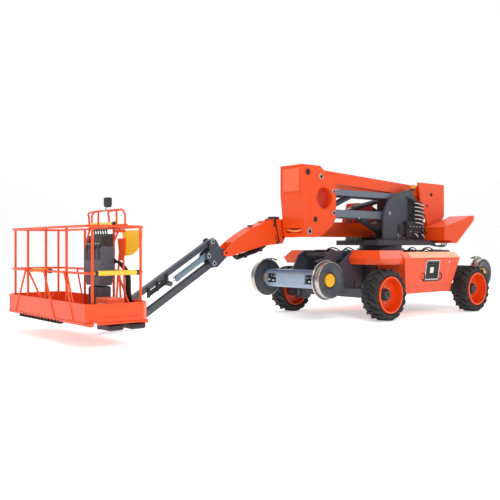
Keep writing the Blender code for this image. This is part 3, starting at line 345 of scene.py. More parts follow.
@dataclass(frozen=True)
class MouldedPlastic(Finish):
    """Moulded or foamed plastic: even colour, a fine leathery grain and a soft broad highlight."""

    grain: float = 1.5
    depth: float = 0.00008

    def layers(self, tree: bpy.types.NodeTree) -> dict[str, Any]:
        """A slightly uneven colour and a leathery grain.

        Args:
            tree: The material's tree.

        Returns:
            Principled input name to socket or constant.
        """
        shade = self.tint(tree, self.spread(tree, self.noise(tree, 45, 3), 0.0, 0.12),
                          hex_colour(self.colour), hex_colour("#8A8680"))
        return {"Base Color": shade, "Normal": self.relief(tree, self.noise(tree, self.grain, 2), self.depth)}


@dataclass(frozen=True)
class Lens(Finish):
    """Coloured polycarbonate lens: clear enough to glow through, with a hard gloss."""

    def layers(self, tree: bpy.types.NodeTree) -> dict[str, Any]:
        """Light let through, a hard gloss and fine ribs.

        Args:
            tree: The material's tree.

        Returns:
            Principled input name to socket or constant.
        """
        ribs = add(tree, "TexWave", {"Vector": self.coordinates(tree), "Scale": 40.0}, bands_direction="Z")
        return {"Transmission Weight": 0.35, "Coat Weight": 0.6, "Coat Roughness": 0.05,
                "Normal": self.relief(tree, ribs.outputs["Fac"], 0.0004)}


@dataclass(frozen=True)
class FloorPaint(Finish):
    """Matt white studio paint that scatters light evenly and glows a little, as a lit cove does."""

    glow: float = 0.45

    def layers(self, tree: bpy.types.NodeTree) -> dict[str, Any]:
        """A weak even glow and hardly any shine.

        Args:
            tree: The material's tree.

        Returns:
            Principled input name to socket or constant.
        """
        return {"Emission Color": hex_colour(self.colour), "Emission Strength": self.glow,
                "Specular IOR Level": 0.1}


class Paint:
    """The finishes used on the machine."""

    ORANGE = PowderCoat("orange polyester powder coat", "#EA4800", 0.40, slot=Slot.ORANGE, dust="#DE5A14")
    # Painted highlight: a pale orange for faces that catch the light, used on the covers' top chamfer and on
    # the tube in the knuckle's slot.
    PAINTED_HIGHLIGHT = PowderCoat("painted highlight pale orange powder coat", "#FF8A4C", 0.30, slot=Slot.ORANGE,
                      dust="#F9BE9A", film=0.02)
    # Painted shade: a darker orange for faces in shade, used on the far hood, the knuckles' hole rims and the
    # floor of the recess; it also draws the seam lines of the covers.
    SHADE_AND_SEAM = PowderCoat("painted shade and seam dark orange powder coat", "#B81F04", 0.42, slot=Slot.ORANGE, dust="#8E4A38")
    # Painted highlight: a paler orange for faces that catch the light, used on the knuckle's front face and
    # the document box.
    PALE = PowderCoat("pale orange painted highlight film", "#F26A40", 0.45, slot=Slot.ORANGE, dust="#F08058", coat=0.1)
    SLATE = PowderCoat("slate grey powder coat", "#3B404B", 0.42, slot=Slot.SLATE, dust="#6A665F", film=0.35)
    JIB = PowderCoat("blue grey cylinder enamel", "#6D8494", 0.34, slot=Slot.SLATE, dust="#7E8890")
    STEEL = PowderCoat("light steel grey enamel", "#66717D", 0.38, slot=Slot.STEEL, dust="#77736C", film=0.3)
    BEAM = RolledSteel("bare rail beam steel", "#A3B6CB", 0.34, 0.55, slot=Slot.STEEL,
                       share=0.12, stretch=2.0)
    ARM_FRONT = TwoTone("rail arm coat, front", "#3A3F49", 0.40, slot=Slot.STEEL, dust="#6A665F")
    ARM_REAR = TwoTone("rail arm coat, rear", "#3A3F49", 0.40, slot=Slot.STEEL, dust="#6A665F",
                       line=-4.024, way=-1)
    TREAD = RolledSteel("worn tread steel", "#C9C3BB", 0.26, 0.95, slot=Slot.STEEL)
    CHROME = RolledSteel("hard chrome plate", "#DADCE0", 0.10, 1.0, slot=Slot.CHROME, share=0.03)
    BOLT = RolledSteel("zinc plated steel", "#C4C8CC", 0.28, 0.9, slot=Slot.STEEL, share=0.15, stretch=1.0)
    BLACK = MouldedPlastic("black moulded nylon", "#141518", 0.48, slot=Slot.BLACK)
    GREY = MouldedPlastic("grey console plastic", "#4A515C", 0.50, slot=Slot.BLACK)
    # Painted shade: near black for hollows, openings and pin holes that lie in shade.
    HOLLOW_SHADE = MouldedPlastic("painted shade of dark hollows", "#0B0B0D", 0.85, slot=Slot.BLACK)
    RUBBER = VulcanisedRubber("vulcanised tyre rubber", "#1A1B1D", 0.75, slot=Slot.RUBBER)
    HOSE = VulcanisedRubber("black hydraulic hose", "#101113", 0.5, slot=Slot.RUBBER, share=0.08)
    WHITE = MouldedPlastic("white nylon hose guard", "#D8D6CE", 0.40, slot=Slot.BLACK)
    YELLOW = PowderCoat("yellow hub enamel", "#F5B000", 0.34, slot=Slot.YELLOW, dust="#B98F20", film=0.12)
    SHIELD = MouldedPlastic("yellow polyethylene sheet", "#FFC000", 0.38, slot=Slot.YELLOW, grain=6.0)
    FOAM = MouldedPlastic("yellow closed-cell foam", "#F8C838", 0.75, slot=Slot.YELLOW,
                          grain=1.0, depth=0.0002)
    CREAM = MouldedPlastic("pale yellow padding", "#F5E07A", 0.70, slot=Slot.YELLOW, grain=1.0)
    RED = MouldedPlastic("red stop button plastic", "#C81E14", 0.35, slot=Slot.BLACK)
    LENS = Lens("amber beacon lens", "#F5A400", 0.12, slot=Slot.YELLOW)
    LABEL = MouldedPlastic("blank white label film", "#E9E7E2", 0.45, slot=Slot.BLACK, grain=8.0)


# ---------------------------------------------------------------- mesh building
@dataclass
class Shape:
    """Closed shells gathered into one mesh."""

    verts: list[Grid] = field(default_factory=list)
    faces: list[tuple[int, ...]] = field(default_factory=list)

    def extend(self, points: Grid, faces: Iterable[Sequence[int]]) -> "Shape":
        """Append one shell.

        Args:
            points: N by 3 array.
            faces: Faces as indexes into points.

        Returns:
            This shape.
        """
        start = sum(len(v) for v in self.verts)
        self.verts.append(np.asarray(points, float).reshape(-1, 3))
        self.faces += [tuple(int(i) + start for i in face) for face in faces]
        return self

    def grid(self, rings: Grid) -> "Shape":
        """Append a tube of rings, closed round each ring and capped at both ends.

        Quad (i, j) joins ring points j and j + 1 (modulo m) of rings i and i + 1. The rings turn
        anticlockwise seen from the last one, so the faces point outwards.

        Args:
            rings: n by m by 3 array.

        Returns:
            This shape.
        """
        n, m = rings.shape[:2]
        i, j = np.meshgrid(np.arange(n - 1), np.arange(m), indexing="ij")
        k = (j + 1) % m
        quads = np.stack([i * m + j, i * m + k, (i + 1) * m + k, (i + 1) * m + j], -1).reshape(-1, 4)
        first, last = tuple(range(m))[::-1], tuple(range((n - 1) * m, n * m))
        return self.extend(rings, [*quads.tolist(), first, last])

    def lathe(self, profile: Sequence[Point], centre: Point, axis: Point, sides: int = 32) -> "Shape":
        """Turn a profile of radius and height about an axis.

        Point (r, h) becomes centre + h a + r (u cos t + v sin t), with u, v, a a right-handed set.

        Args:
            profile: Radius and height pairs from the low end to the high end.
            centre: Point that heights count from.
            axis: Direction of the axis.
            sides: Points round.

        Returns:
            This shape.
        """
        u, v, a = basis(axis)
        p = np.asarray(profile, float)
        t = np.linspace(0, 2 * np.pi, sides, endpoint=False)
        ring = np.cos(t)[:, None] * u + np.sin(t)[:, None] * v
        return self.grid(np.asarray(centre, float) + p[:, 1, None, None] * a + p[:, 0, None, None] * ring)

    def ring(self, inner: float, outer: float, low: float, high: float, centre: Point, axis: Point,
             sides: int = 40) -> "Shape":
        """Append a flat ring with its upper outer edge cut back.

        Args:
            inner: Hole radius.
            outer: Outer radius.
            low: Lower face along the axis.
            high: Upper face along the axis.
            centre: Point that heights count from.
            axis: Direction of the axis.
            sides: Points round.

        Returns:
            This shape.
        """
        edge = min(outer - inner, high - low) * 0.2
        section = [(inner, low), (outer, low), (outer, high - edge), (outer - edge, high), (inner, high)]
        return self.hoop(section, centre, axis, sides)

    def hoop(self, section: Sequence[Point], centre: Point, axis: Point, sides: int = 40) -> "Shape":
        """Turn a closed section of radius and height about an axis.

        Quad (i, j) joins section points i and i + 1 (modulo n) at angles j and j + 1 (modulo m).

        Args:
            section: Radius and height pairs, anticlockwise.
            centre: Point that heights count from.
            axis: Direction of the axis.
            sides: Points round.

        Returns:
            This shape.
        """
        u, v, a = basis(axis)
        p = np.asarray(section, float)
        t = np.linspace(0, 2 * np.pi, sides, endpoint=False)
        turn = np.cos(t)[:, None] * u + np.sin(t)[:, None] * v
        pts = np.asarray(centre, float) + p[:, 1, None, None] * a + p[:, 0, None, None] * turn
        n, m = len(p), sides
        i, j = np.meshgrid(np.arange(n), np.arange(m), indexing="ij")
        k, q = (j + 1) % m, (i + 1) % n
        return self.extend(pts,
                           np.stack([i * m + j, i * m + k, q * m + k, q * m + j], -1).reshape(-1, 4).tolist())

    def block(self, low: Point, high: Point, edge: float = 0.004) -> "Shape":
        """Append a box whose upright and level edges are cut back.

        Each of four levels is the box's plan with its corners cut. The first and last are drawn in.

        Args:
            low: Lowest corner.
            high: Highest corner.
            edge: Chamfer width.

        Returns:
            This shape.
        """
        lo, hi = np.minimum(low, high).astype(float), np.maximum(low, high).astype(float)
        e = min(edge, float((hi - lo).min()) * 0.4)
        z = np.array([lo[2], lo[2] + e, hi[2] - e, hi[2]])
        inset = np.array([e, 0, 0, e])
        x0, x1, y0, y1 = lo[0] + inset, hi[0] - inset, lo[1] + inset, hi[1] - inset
        xs = np.stack([x0 + e, x1 - e, x1, x1, x1 - e, x0 + e, x0, x0], -1)
        ys = np.stack([y0, y0, y0 + e, y1 - e, y1, y1, y1 - e, y0 + e], -1)
        return self.grid(np.stack([xs, ys, np.repeat(z[:, None], 8, 1)], -1))

    def slab(self, outline: Sequence[Point], low: float, high: float, plane: str = "XZ",
             edge: float = 0.002) -> "Shape":
        """Extrude a flat outline across a plane, with its edges cut back.

        Args:
            outline: Corners in the plane.
            low: Lower face along the third axis.
            high: Upper face along the third axis.
            plane: Letters of the two axes of the outline.
            edge: Chamfer of the upper and lower rims.

        Returns:
            This shape.
        """
        p = np.asarray(outline, float)
        if np.sum(p[:, 0] * np.roll(p[:, 1], -1) - p[:, 1] * np.roll(p[:, 0], -1)) < 0:
            p = p[::-1]
        ahead, behind = np.roll(p, -1, 0) - p, p - np.roll(p, 1, 0)
        ahead /= np.linalg.norm(ahead, axis=1, keepdims=True)
        behind /= np.linalg.norm(behind, axis=1, keepdims=True)
        inward = np.stack([-(ahead + behind)[:, 1], (ahead + behind)[:, 0]], -1)
        inward /= np.maximum(np.sum(inward * np.stack([-ahead[:, 1], ahead[:, 0]], -1), 1,
                                    keepdims=True), 0.3)
        e = min(edge, (high - low) * 0.3)
        rings = []
        for h, cut in ((low, e), (low + e, 0), (high - e, 0), (high, e)):
            flat = p + inward * cut
            third = np.full(len(p), h)
            rings.append({"XZ": np.stack([flat[:, 0], third, flat[:, 1]], -1),
                          "YZ": np.stack([third, flat[:, 0], flat[:, 1]], -1),
                          "XY": np.stack([flat[:, 0], flat[:, 1], third], -1)}[plane])
        rings = np.array(rings)
        return self.grid(rings[::-1] if plane == "XZ" else rings)

    def tube(self, points: Sequence[Point], radius: float, sides: int = 12, steps: int = 6) -> "Shape":
        """Carry a circle along a smooth path with rounded ends.

        The path is a Catmull-Rom spline through the points a, b, c and d:
        q(t) = 0.5 (2b + (c - a) t + (2a - 5b + 4c - d) t^2 + (3b - 3c + d - a) t^3).
        Each ring lies across its tangent, turned from the one before by the least rotation.

        Args:
            points: Points on the path.
            radius: Tube radius.
            sides: Points round.
            steps: Rings in each span.

        Returns:
            This shape.
        """
        p = np.asarray(points, float)
        if steps > 1 and len(p) > 2:
            q = np.vstack([2 * p[0] - p[1], p, 2 * p[-1] - p[-2]])
            t = np.linspace(0, 1, steps, endpoint=False)[:, None, None]
            a, b, c, d = q[:-3], q[1:-2], q[2:-1], q[3:]
            line = 0.5 * (2 * b + (c - a) * t + (2 * a - 5 * b + 4 * c - d) * t ** 2
                          + (3 * b - 3 * c + d - a) * t ** 3)
            p = np.vstack([line.transpose(1, 0, 2).reshape(-1, 3), p[-1]])
        tangent = np.gradient(p, axis=0)
        tangent /= np.linalg.norm(tangent, axis=1, keepdims=True)
        u, v, _ = basis(tangent[0])
        angle = np.linspace(0, 2 * np.pi, sides, endpoint=False)
        rings = []
        for centre, t in zip(p, tangent):
            u = u - t * np.dot(u, t)
            u /= np.linalg.norm(u)
            v = np.cross(t, u)
            rings.append(centre + radius * (np.cos(angle)[:, None] * u + np.sin(angle)[:, None] * v))
        caps = [(p[0] - tangent[0] * radius * 0.3)[None] + (rings[0] - p[0]) * 0.7,
                (p[-1] + tangent[-1] * radius * 0.3)[None] + (rings[-1] - p[-1]) * 0.7]
        return self.grid(np.array([caps[0], *rings, caps[1]]))

    def bolts(self, centre: Point, axis: Point, radius: float, count: int, size: float,
              height: float) -> "Shape":
        """Append hexagon heads on a circle.

        Args:
            centre: Middle of the circle, on the surface.
            axis: Outward direction.
            radius: Bolt circle radius.
            count: Number of bolts.
            size: Half the width over a head's corners.
            height: Head height.

        Returns:
            This shape.
        """
        u, v, _ = basis(axis)
        for t in np.arange(count) * 2 * np.pi / count:
            at = np.asarray(centre, float) + radius * (math.cos(t) * u + math.sin(t) * v)
            self.lathe([(size, -0.004), (size, height * 0.8), (size * 0.8, height)], at, axis, 6)
        return self


def basis(axis: Point) -> tuple[Grid, Grid, Grid]:
    """Right-handed set of unit vectors u, v, a for an axis.

    Args:
        axis: Direction of a.

    Returns:
        u, v and a with u x v = a.
    """
    a = np.asarray(axis, float) / np.linalg.norm(axis)
    side = np.array([0.0, 0.0, 1.0]) if abs(a[2]) < 0.9 else np.array([1.0, 0.0, 0.0])
    u = np.cross(side, a)
    u /= np.linalg.norm(u)
    return u, np.cross(a, u), a


@dataclass(frozen=True)
class Machine:
    """Places pieces in the part's frame and hands them to their bodies."""

    origin: tuple[float, float, float]

    @classmethod
    def found(cls) -> "Machine":
        """Find the slew axis from the slew ring's box.

        Returns:
            The machine with its origin on the ground under the ring.
        """
        lo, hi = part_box("slew_ring")
        return cls(((lo.x + hi.x) / 2, (lo.y + hi.y) / 2, 0.0))

    def box(self, node: str) -> tuple[Grid, Grid]:
        """Box of a CAD node, counted from the slew axis.

        Args:
            node: CAD node name.

        Returns:
            Lowest and highest corner.
        """
        lo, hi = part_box(node)
        return np.array(lo) - self.origin, np.array(hi) - self.origin

    def put(self, name: str, shape: Shape, finish: Finish, body: str, replaces: Sequence[str] = (),
            angle: float = 35.0) -> bpy.types.Object:
        """Make an object of a shape, dress it and let it ride on a body.

        Args:
            name: Object name.
            shape: Closed shells, from the slew axis.
            finish: Surface finish.
            body: CAD body that carries it.
            replaces: CAD nodes that it stands for.
            angle: Edges sharper than this stay hard, in degrees.

        Returns:
            The new object.
        """
        points = np.vstack(shape.verts) + self.origin
        mesh = bpy.data.meshes.new(name)
        mesh.from_pydata(points.tolist(), [], shape.faces)
        mesh.materials.append(finish.build())
        mesh.shade_smooth()
        mesh.set_sharp_from_angle(angle=math.radians(angle))
        piece = bpy.data.objects.new(name, mesh)
        bpy.context.scene.collection.objects.link(piece)
        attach(piece, body)
        if replaces:
            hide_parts(*replaces)
        log.info("made %s: %d faces on %s, %s", name, len(shape.faces), body, finish.name)
        return piece


# ---------------------------------------------------------------- running gear
@dataclass(frozen=True)
class Tyre:
    """Deep-lugged industrial tyre on one road wheel, with the hub and bolts inside its rim."""

    machine: Machine
    corner: str
    side: int
    lugs: int = 18
    tread: float = 0.384
    top: float = 0.420
    sweep: float = 0.20
    disc_offset: float = 0.001

    def centre(self) -> Grid:
        """Middle of the CAD tyre.

        Returns:
            Point on the wheel's axis.
        """
        lo, hi = self.machine.box("tyre_" + self.corner)
        return (lo + hi) / 2

    def carcass(self, shape: Shape) -> None:
        """Turn the casing: bead, sidewall with two raised rings, shoulder and tread base.

        Args:
            shape: Receives the shell.
        """
        half = [(0.302, 0.120), (0.314, 0.136), (0.330, 0.140), (0.334, 0.146), (0.342, 0.146),
                (0.346, 0.150), (0.364, 0.149), (0.377, 0.134), (self.tread, 0.104),
                (self.tread + 0.002, 0.0)]
        upper = np.array(half)
        shape.hoop(np.vstack([upper * (1, -1), upper[-2::-1]]), self.centre(), (0, 1, 0), 72)

    def lug(self, shape: Shape, turn: float, side: int) -> None:
        """Carry one lug from the middle of the tread over the shoulder.

        Station k has a base, a crown and an angle turn + sweep s(k)^1.5, so the bar leans back and
        straightens down the sidewall. A point is (r sin a, y, r cos a) from the wheel's middle.

        Args:
            shape: Receives the shell.
            turn: Angle where the lug starts.
            side: Plus one for the outer or minus one for the inner half, along +Y.
        """
        base = np.array([(-0.012, 0.376), (0.030, 0.376), (0.070, 0.376), (0.104, 0.372), (0.116, 0.352),
                         (0.122, 0.334)])
        crown = np.array([(-0.012, self.top - 0.002), (0.030, self.top), (0.076, self.top - 0.001),
                          (0.124, self.top - 0.006), (0.151, self.top - 0.028), (0.158, self.top - 0.058)])
        s = np.array([0, 0.2, 0.5, 0.8, 1.0, 1.02])
        a = turn + self.sweep * s ** 1.5
        w = np.array([0.046, 0.052, 0.058, 0.066, 0.074, 0.060])
        corners = [(base, a - w), (base, a + w), (crown, a + w * 0.72), (crown, a - w * 0.72)]
        lines = [np.stack([p[:, 1] * np.sin(t), side * p[:, 0], p[:, 1] * np.cos(t)], -1) for p, t in corners]
        rings = np.stack(lines, 1)
        shape.grid(self.centre() + (rings if side < 0 else rings[:, ::-1]))

    def build(self) -> None:
        """Make the tyre, the hub drum, its bolts and the rim's bead."""
        rubber = Shape()
        self.carcass(rubber)
        for turn in np.arange(self.lugs) * 2 * np.pi / self.lugs:
            self.lug(rubber, turn, 1)
            self.lug(rubber, turn + np.pi / self.lugs, -1)
        body = "wheel_" + self.corner
        self.machine.put("lugged_tyre_" + self.corner, rubber, Paint.RUBBER, body, ["tyre_" + self.corner])
        disc = self.centre() + (0, self.side * self.disc_offset, 0)
        axis = (0, self.side, 0)
        drum = Shape().lathe([(0.100, -0.004), (0.100, 0.020), (0.088, 0.026), (0.084, 0.066), (0.070, 0.080),
                              (0.030, 0.082), (0.028, 0.088), (0.002, 0.088)], disc, axis, 32)
        self.machine.put("hub_drum_" + self.corner, drum, Paint.BLACK, body)
        bolts = Shape().bolts(disc, axis, 0.132, 8, 0.0125, 0.018)
        bolts.bolts(disc + (0, self.side * 0.080, 0), axis, 0.050, 6, 0.007, 0.006)
        self.machine.put("wheel_bolts_" + self.corner, bolts, Paint.BOLT, body)
        lip = disc + (0, self.side * 0.146, 0)
        bead = Shape().ring(0.271, 0.2985, -0.014, 0.006, lip, axis, 56)
        self.machine.put("rim_bead_" + self.corner, bead, Paint.ORANGE, body)


@dataclass(frozen=True)
class RailGear:
    """One rail axle: flanged wheels with painted faces, beam fittings, guards and hoses."""

    machine: Machine
    end: str
    way: int
    hub_r: float = 0.105
    axle_x: float = 2.195
    axle_z: float = 0.667
    guard_r: float = 0.335
    guard_inner: float = 0.97

    def wheel(self, name: str, side: int) -> None:
        """Dress one rail wheel's faces and hub.

        Args:
            name: left or right.
            side: Sign of its Y.
        """
        lo, hi = self.machine.box(f"rail_wheel_{self.end}_{name}")
        face = (lo + hi) / 2
        face[1] = side * max(abs(lo[1]), abs(hi[1]))
        axis, body = (0, side, 0), "rail_wheels_" + self.end
        outer = [(0.124, -0.054), (0.238, -0.002), (0.266, -0.002), (0.270, 0.003), (0.262, 0.006),
                 (0.240, 0.006), (0.232, 0.005), (0.214, 0.004), (0.206, -0.002), (0.134, -0.026),
                 (0.126, -0.040)]
        ring = Shape().hoop(outer, face, axis, 64)
        ring.ring(0.118, 0.292, -0.005, 0.003, face - (0, side * 0.129, 0), axis, 64)
        self.machine.put(f"rail_wheel_faces_{self.end}_{name}", ring, Paint.SLATE, body)
        dome = [(self.hub_r, -0.056), (self.hub_r, -0.020), (self.hub_r - 0.008, -0.010), (0.060, -0.006),
                (0.050, 0.006), (0.020, 0.008), (0.002, 0.008)]
        hub = Shape().lathe(dome, face, axis, 40)
        hub.bolts(face - (0, side * 0.008, 0), axis, 0.080, 6, 0.010, 0.010)
        hub.ring(0.056, 0.115, -0.026, 0.0, face - (0, side * 0.1335, 0), axis, 40)
        self.machine.put(f"rail_hub_{self.end}_{name}", hub, Paint.YELLOW, body)
        tread = Shape().ring(0.2765, 0.2868, 0.0, 0.086, face - (0, side * 0.086, 0), axis, 72)
        tread.ring(0.296, 0.3135, 0.0, 0.022, face - (0, side * 0.1245, 0), axis, 72)
        self.machine.put(f"rail_tread_{self.end}_{name}", tread, Paint.TREAD, body)

    def beam(self) -> None:
        """Fill the beam's windows with dark blocks of painted shade, and give it its fittings, hoses, wheel
        guards and cladding.
        """
        lo, hi = self.machine.box("rail_arm_" + self.end)
        w = self.way
        face = w * max(abs(lo[0]), abs(hi[0]))
        z, body = self.axle_z, "rail_arm_" + self.end
        dark, metal, hoses, plates = Shape(), Shape(), Shape(), Shape()
        for side in (1, -1):
            y0, y1 = side * 0.345, side * 0.555
            # Painted shade: a near black block fills each window, where the inside of the beam lies in shade.
            dark.block((face - w * 0.064, y0, z - 0.07), (face - w * 0.052, y1, z + 0.07))
            for y, r in ((0.385, 0.022), (0.445, 0.016), (0.515, 0.020)):
                metal.lathe([(r, -0.03), (r, 0.03), (r * 0.6, 0.035), (r * 0.6, 0.046)],
                            (face - w * 0.04, side * y, z + (0.03 if y < 0.5 else -0.03)),
                            (w * 0.2, side, 0.25), 12)
            metal.block((face - w * 0.050, side * 0.40, z - 0.055),
                        (face - w * 0.012, side * 0.45, z - 0.015), 0.006)
            hoses.tube([(face - w * 0.045, side * 0.350, z - 0.03),
                        (face - w * 0.012, side * 0.42, z + 0.045), (face - w * 0.02, side * 0.50, z - 0.045),
                        (face - w * 0.05, side * 0.552, z + 0.02)], 0.009)
            arch = np.radians(np.linspace(62, 118, 9))
            guard = [(self.guard_r * math.cos(a), self.guard_r * math.sin(a)) for a in arch]
            arc = [(w * self.axle_x + x, z + h) for x, h in guard]
            inner = [(x * self.guard_inner, h * self.guard_inner) for x, h in guard[::-1]]
            arc += [(w * self.axle_x + x, z + h) for x, h in inner]
            plates.slab(arc, *sorted((side * 0.60, side * 0.665)), edge=0.001)
            plates.slab([(w * 2.17, z + 0.12), (w * 2.22, z + 0.12), (w * 2.21, z + 0.327),
                         (w * 2.18, z + 0.327)], *sorted((side * 0.596, side * 0.606)), edge=0.001)
        self.machine.put(f"beam_recess_{self.end}", dark, Paint.HOLLOW_SHADE, body)
        self.machine.put(f"beam_fittings_{self.end}", metal, Paint.BOLT, body)
        self.machine.put(f"beam_hoses_{self.end}", hoses, Paint.HOSE, body)
        self.machine.put(f"wheel_guards_{self.end}", plates, Paint.SLATE, body)
        sheet = Shape().block((face - w * 0.001, -0.33, z - 0.10), (face + w * 0.003, 0.33, z + 0.03), 0.001)
        sheet.block((face - w * 0.235, -0.60, z + 0.1445), (face - w * 0.02, 0.60, z + 0.1475), 0.001)
        self.machine.put(f"beam_cladding_{self.end}", sheet, Paint.BEAM, body)

    def hoses(self) -> None:
        """Chassis hoses that loop over the rail arms' pins, with their steel fittings."""
        w, loops, ends = self.way, Shape(), Shape()
        for k, y in enumerate((-0.24, -0.19, -0.14, 0.13, 0.18, 0.23, 0.28)):
            lift = 0.03 * (k % 3)
            loops.tube([(w * 0.92, y * 0.8, 0.985), (w * 1.00, y * 0.9, 1.07 + lift),
                        (w * 1.16, y, 1.115 + lift), (w * 1.30, y * 1.06, 1.06 + lift),
                        (w * 1.345, y * 1.1, 0.93), (w * 1.33, y * 1.12, 0.80)], 0.011)
            ends.lathe([(0.015, 0.0), (0.015, 0.04), (0.010, 0.045)], (w * 0.92, y * 0.8, 0.975),
                       (w * 0.5, 0, 1), 8)
        for y in (0.490, 0.515):
            loops.tube([(w * 1.30, y, 0.62), (w * 1.33, y + 0.01, 0.50), (w * 1.31, y, 0.42),
                        (w * 1.22, y, 0.36)], 0.008)
        self.machine.put(f"axle_hoses_{self.end}", loops, Paint.HOSE, "chassis")
        self.machine.put(f"axle_hose_ends_{self.end}", ends, Paint.BOLT, "chassis")

    def build(self) -> None:
        """Make the whole rail axle's dress."""
        for name, side in (("left", 1), ("right", -1)):
            self.wheel(name, side)
        self.beam()
        self.hoses()


# ---------------------------------------------------------------- chassis
@dataclass(frozen=True)
class SideCover:
    """Top band of painted highlight, framed service panel over painted shade, handles and lock of one engine
    cover.
    """

    machine: Machine
    side: int
    low: float = 1.06
    lean: float = 0.15

    def face(self, z: float, out: float = 0.0) -> float:
        """Y of the leaning outer face, y = low + lean (z - 0.4), pushed out.

        Args:
            z: Height.
            out: Distance off the face.

        Returns:
            Signed Y.
        """
        return self.side * (self.low + self.lean * (z - 0.40) + out)

    def pad(self, shape: Shape, x: Point, z: Point, out: Point, edge: float = 0.002) -> None:
        """Append a slab that lies along the leaning face.

        Args:
            shape: Receives the slab.
            x: First and last X.
            z: Low and high Z.
            out: Inner and outer distance from the face.
            edge: Chamfer.
        """
        outline = [(self.face(z[0], out[0]), z[0]), (self.face(z[1], out[0]), z[1]),
                   (self.face(z[1], out[1]), z[1]), (self.face(z[0], out[1]), z[0])]
        shape.slab(outline, x[0], x[1], "YZ", edge)

    def build(self) -> None:
        """Make the cover's fittings on the chassis."""
        name = "left" if self.side > 0 else "right"
        trim, dark, handles, lock, labels = (Shape() for _ in range(5))
        x0, x1, z0, z1 = -0.21, 0.19, 0.62, 0.96
        bar = 0.018
        edges = ((x0, x1, z1 - bar, z1), (x0, x1, z0, z0 + bar), (x0, x0 + bar, z0, z1),
                 (x1 - bar, x1, z0, z1))
        for start, end, bottom, top in edges:
            self.pad(trim, (start, end), (bottom, top), (-0.001, 0.010))
        # Painted shade: a near black sheet behind the slats, where the opening of the grille lies in shade.
        self.pad(dark, (x0 + 0.015, x1 - 0.015), (z0 + 0.015, z1 - 0.015), (-0.001, 0.003))
        for z in np.linspace(z0 + 0.04, z1 - 0.05, 9):
            self.pad(handles, (x0 + 0.02, x1 - 0.02), (z, z + 0.014), (0.002, 0.008))
        for x in (x0 - 0.055, x1 + 0.035):
            bow = ((0.625, 0.0), (0.632, 0.03), (0.68, 0.038), (0.728, 0.03), (0.735, 0.0))
            handles.tube([(x + 0.01, self.face(h, out), h) for h, out in bow], 0.009)
        self.pad(handles, (x0 - 0.03, x1 + 0.02), (z0 - 0.022, z0 - 0.004), (-0.001, 0.014))
        lock.lathe([(0.020, -0.004), (0.020, 0.006), (0.012, 0.010), (0.010, 0.012)],
                   (-0.49, self.face(0.93), 0.93), (0, self.side, 0), 20)
        self.pad(labels, (-0.04, 0.06), (0.74, 0.84), (0.008, 0.010), 0.0005)
        self.machine.put(f"cover_panel_frame_{name}", trim, Paint.BOLT, "chassis")
        self.machine.put(f"cover_panel_{name}", dark, Paint.HOLLOW_SHADE, "chassis")
        self.machine.put(f"cover_handles_{name}", handles, Paint.BLACK, "chassis")
        self.machine.put(f"cover_lock_{name}", lock, Paint.CHROME, "chassis")
        self.machine.put(f"cover_label_{name}", labels, Paint.LABEL, "chassis")
        # Painted highlight: a pale orange strip on the top chamfer, where light from above makes the face
        # look pale.
        slope = ((1.1535, 1.003), (1.0535, 1.103), (1.050, 1.100), (1.150, 1.000))
        band = Shape().slab([(self.side * y, z) for y, z in slope], -0.785, 0.62, "YZ", 0.0005)
        self.machine.put(f"cover_band_{name}", band, Paint.PAINTED_HIGHLIGHT, "chassis")
        seam = Shape()
        self.pad(seam, (-0.72, 0.66), (0.985, 0.991), (-0.001, 0.0015), 0.0004)
        self.pad(seam, (-0.66, 0.64), (0.520, 0.524), (-0.001, 0.0015), 0.0004)
        self.machine.put(f"cover_seam_{name}", seam, Paint.SHADE_AND_SEAM, "chassis")


@dataclass(frozen=True)
class Pin:
    """A pivot pin's head: steel collar, keeper and a dark centre of painted shade in its hole."""

    x: float
    z: float
    radius: float

    def add(self, metal: Shape, dark: Shape, y: float, side: int) -> None:
        """Append the head to a plate's face.

        Args:
            metal: Receives the collar and keeper.
            dark: Receives the centre.
            y: Face of the plate.
            side: Sign of the outward direction along Y.
        """
        at, axis, r = (self.x, y, self.z), (0, side, 0), self.radius
        metal.ring(r * 0.62, r, -0.003, 0.012, at, axis, 28)
        metal.block((self.x - r * 0.30, y, self.z + r * 0.85),
                    (self.x + r * 0.30, y + side * 0.008, self.z + r * 1.5))
        # Painted shade: the near black centre stands for shade in the pin's hole.
        dark.lathe([(r * 0.62, -0.003), (r * 0.62, 0.006), (r * 0.2, 0.009), (0.002, 0.009)], at, axis, 24)


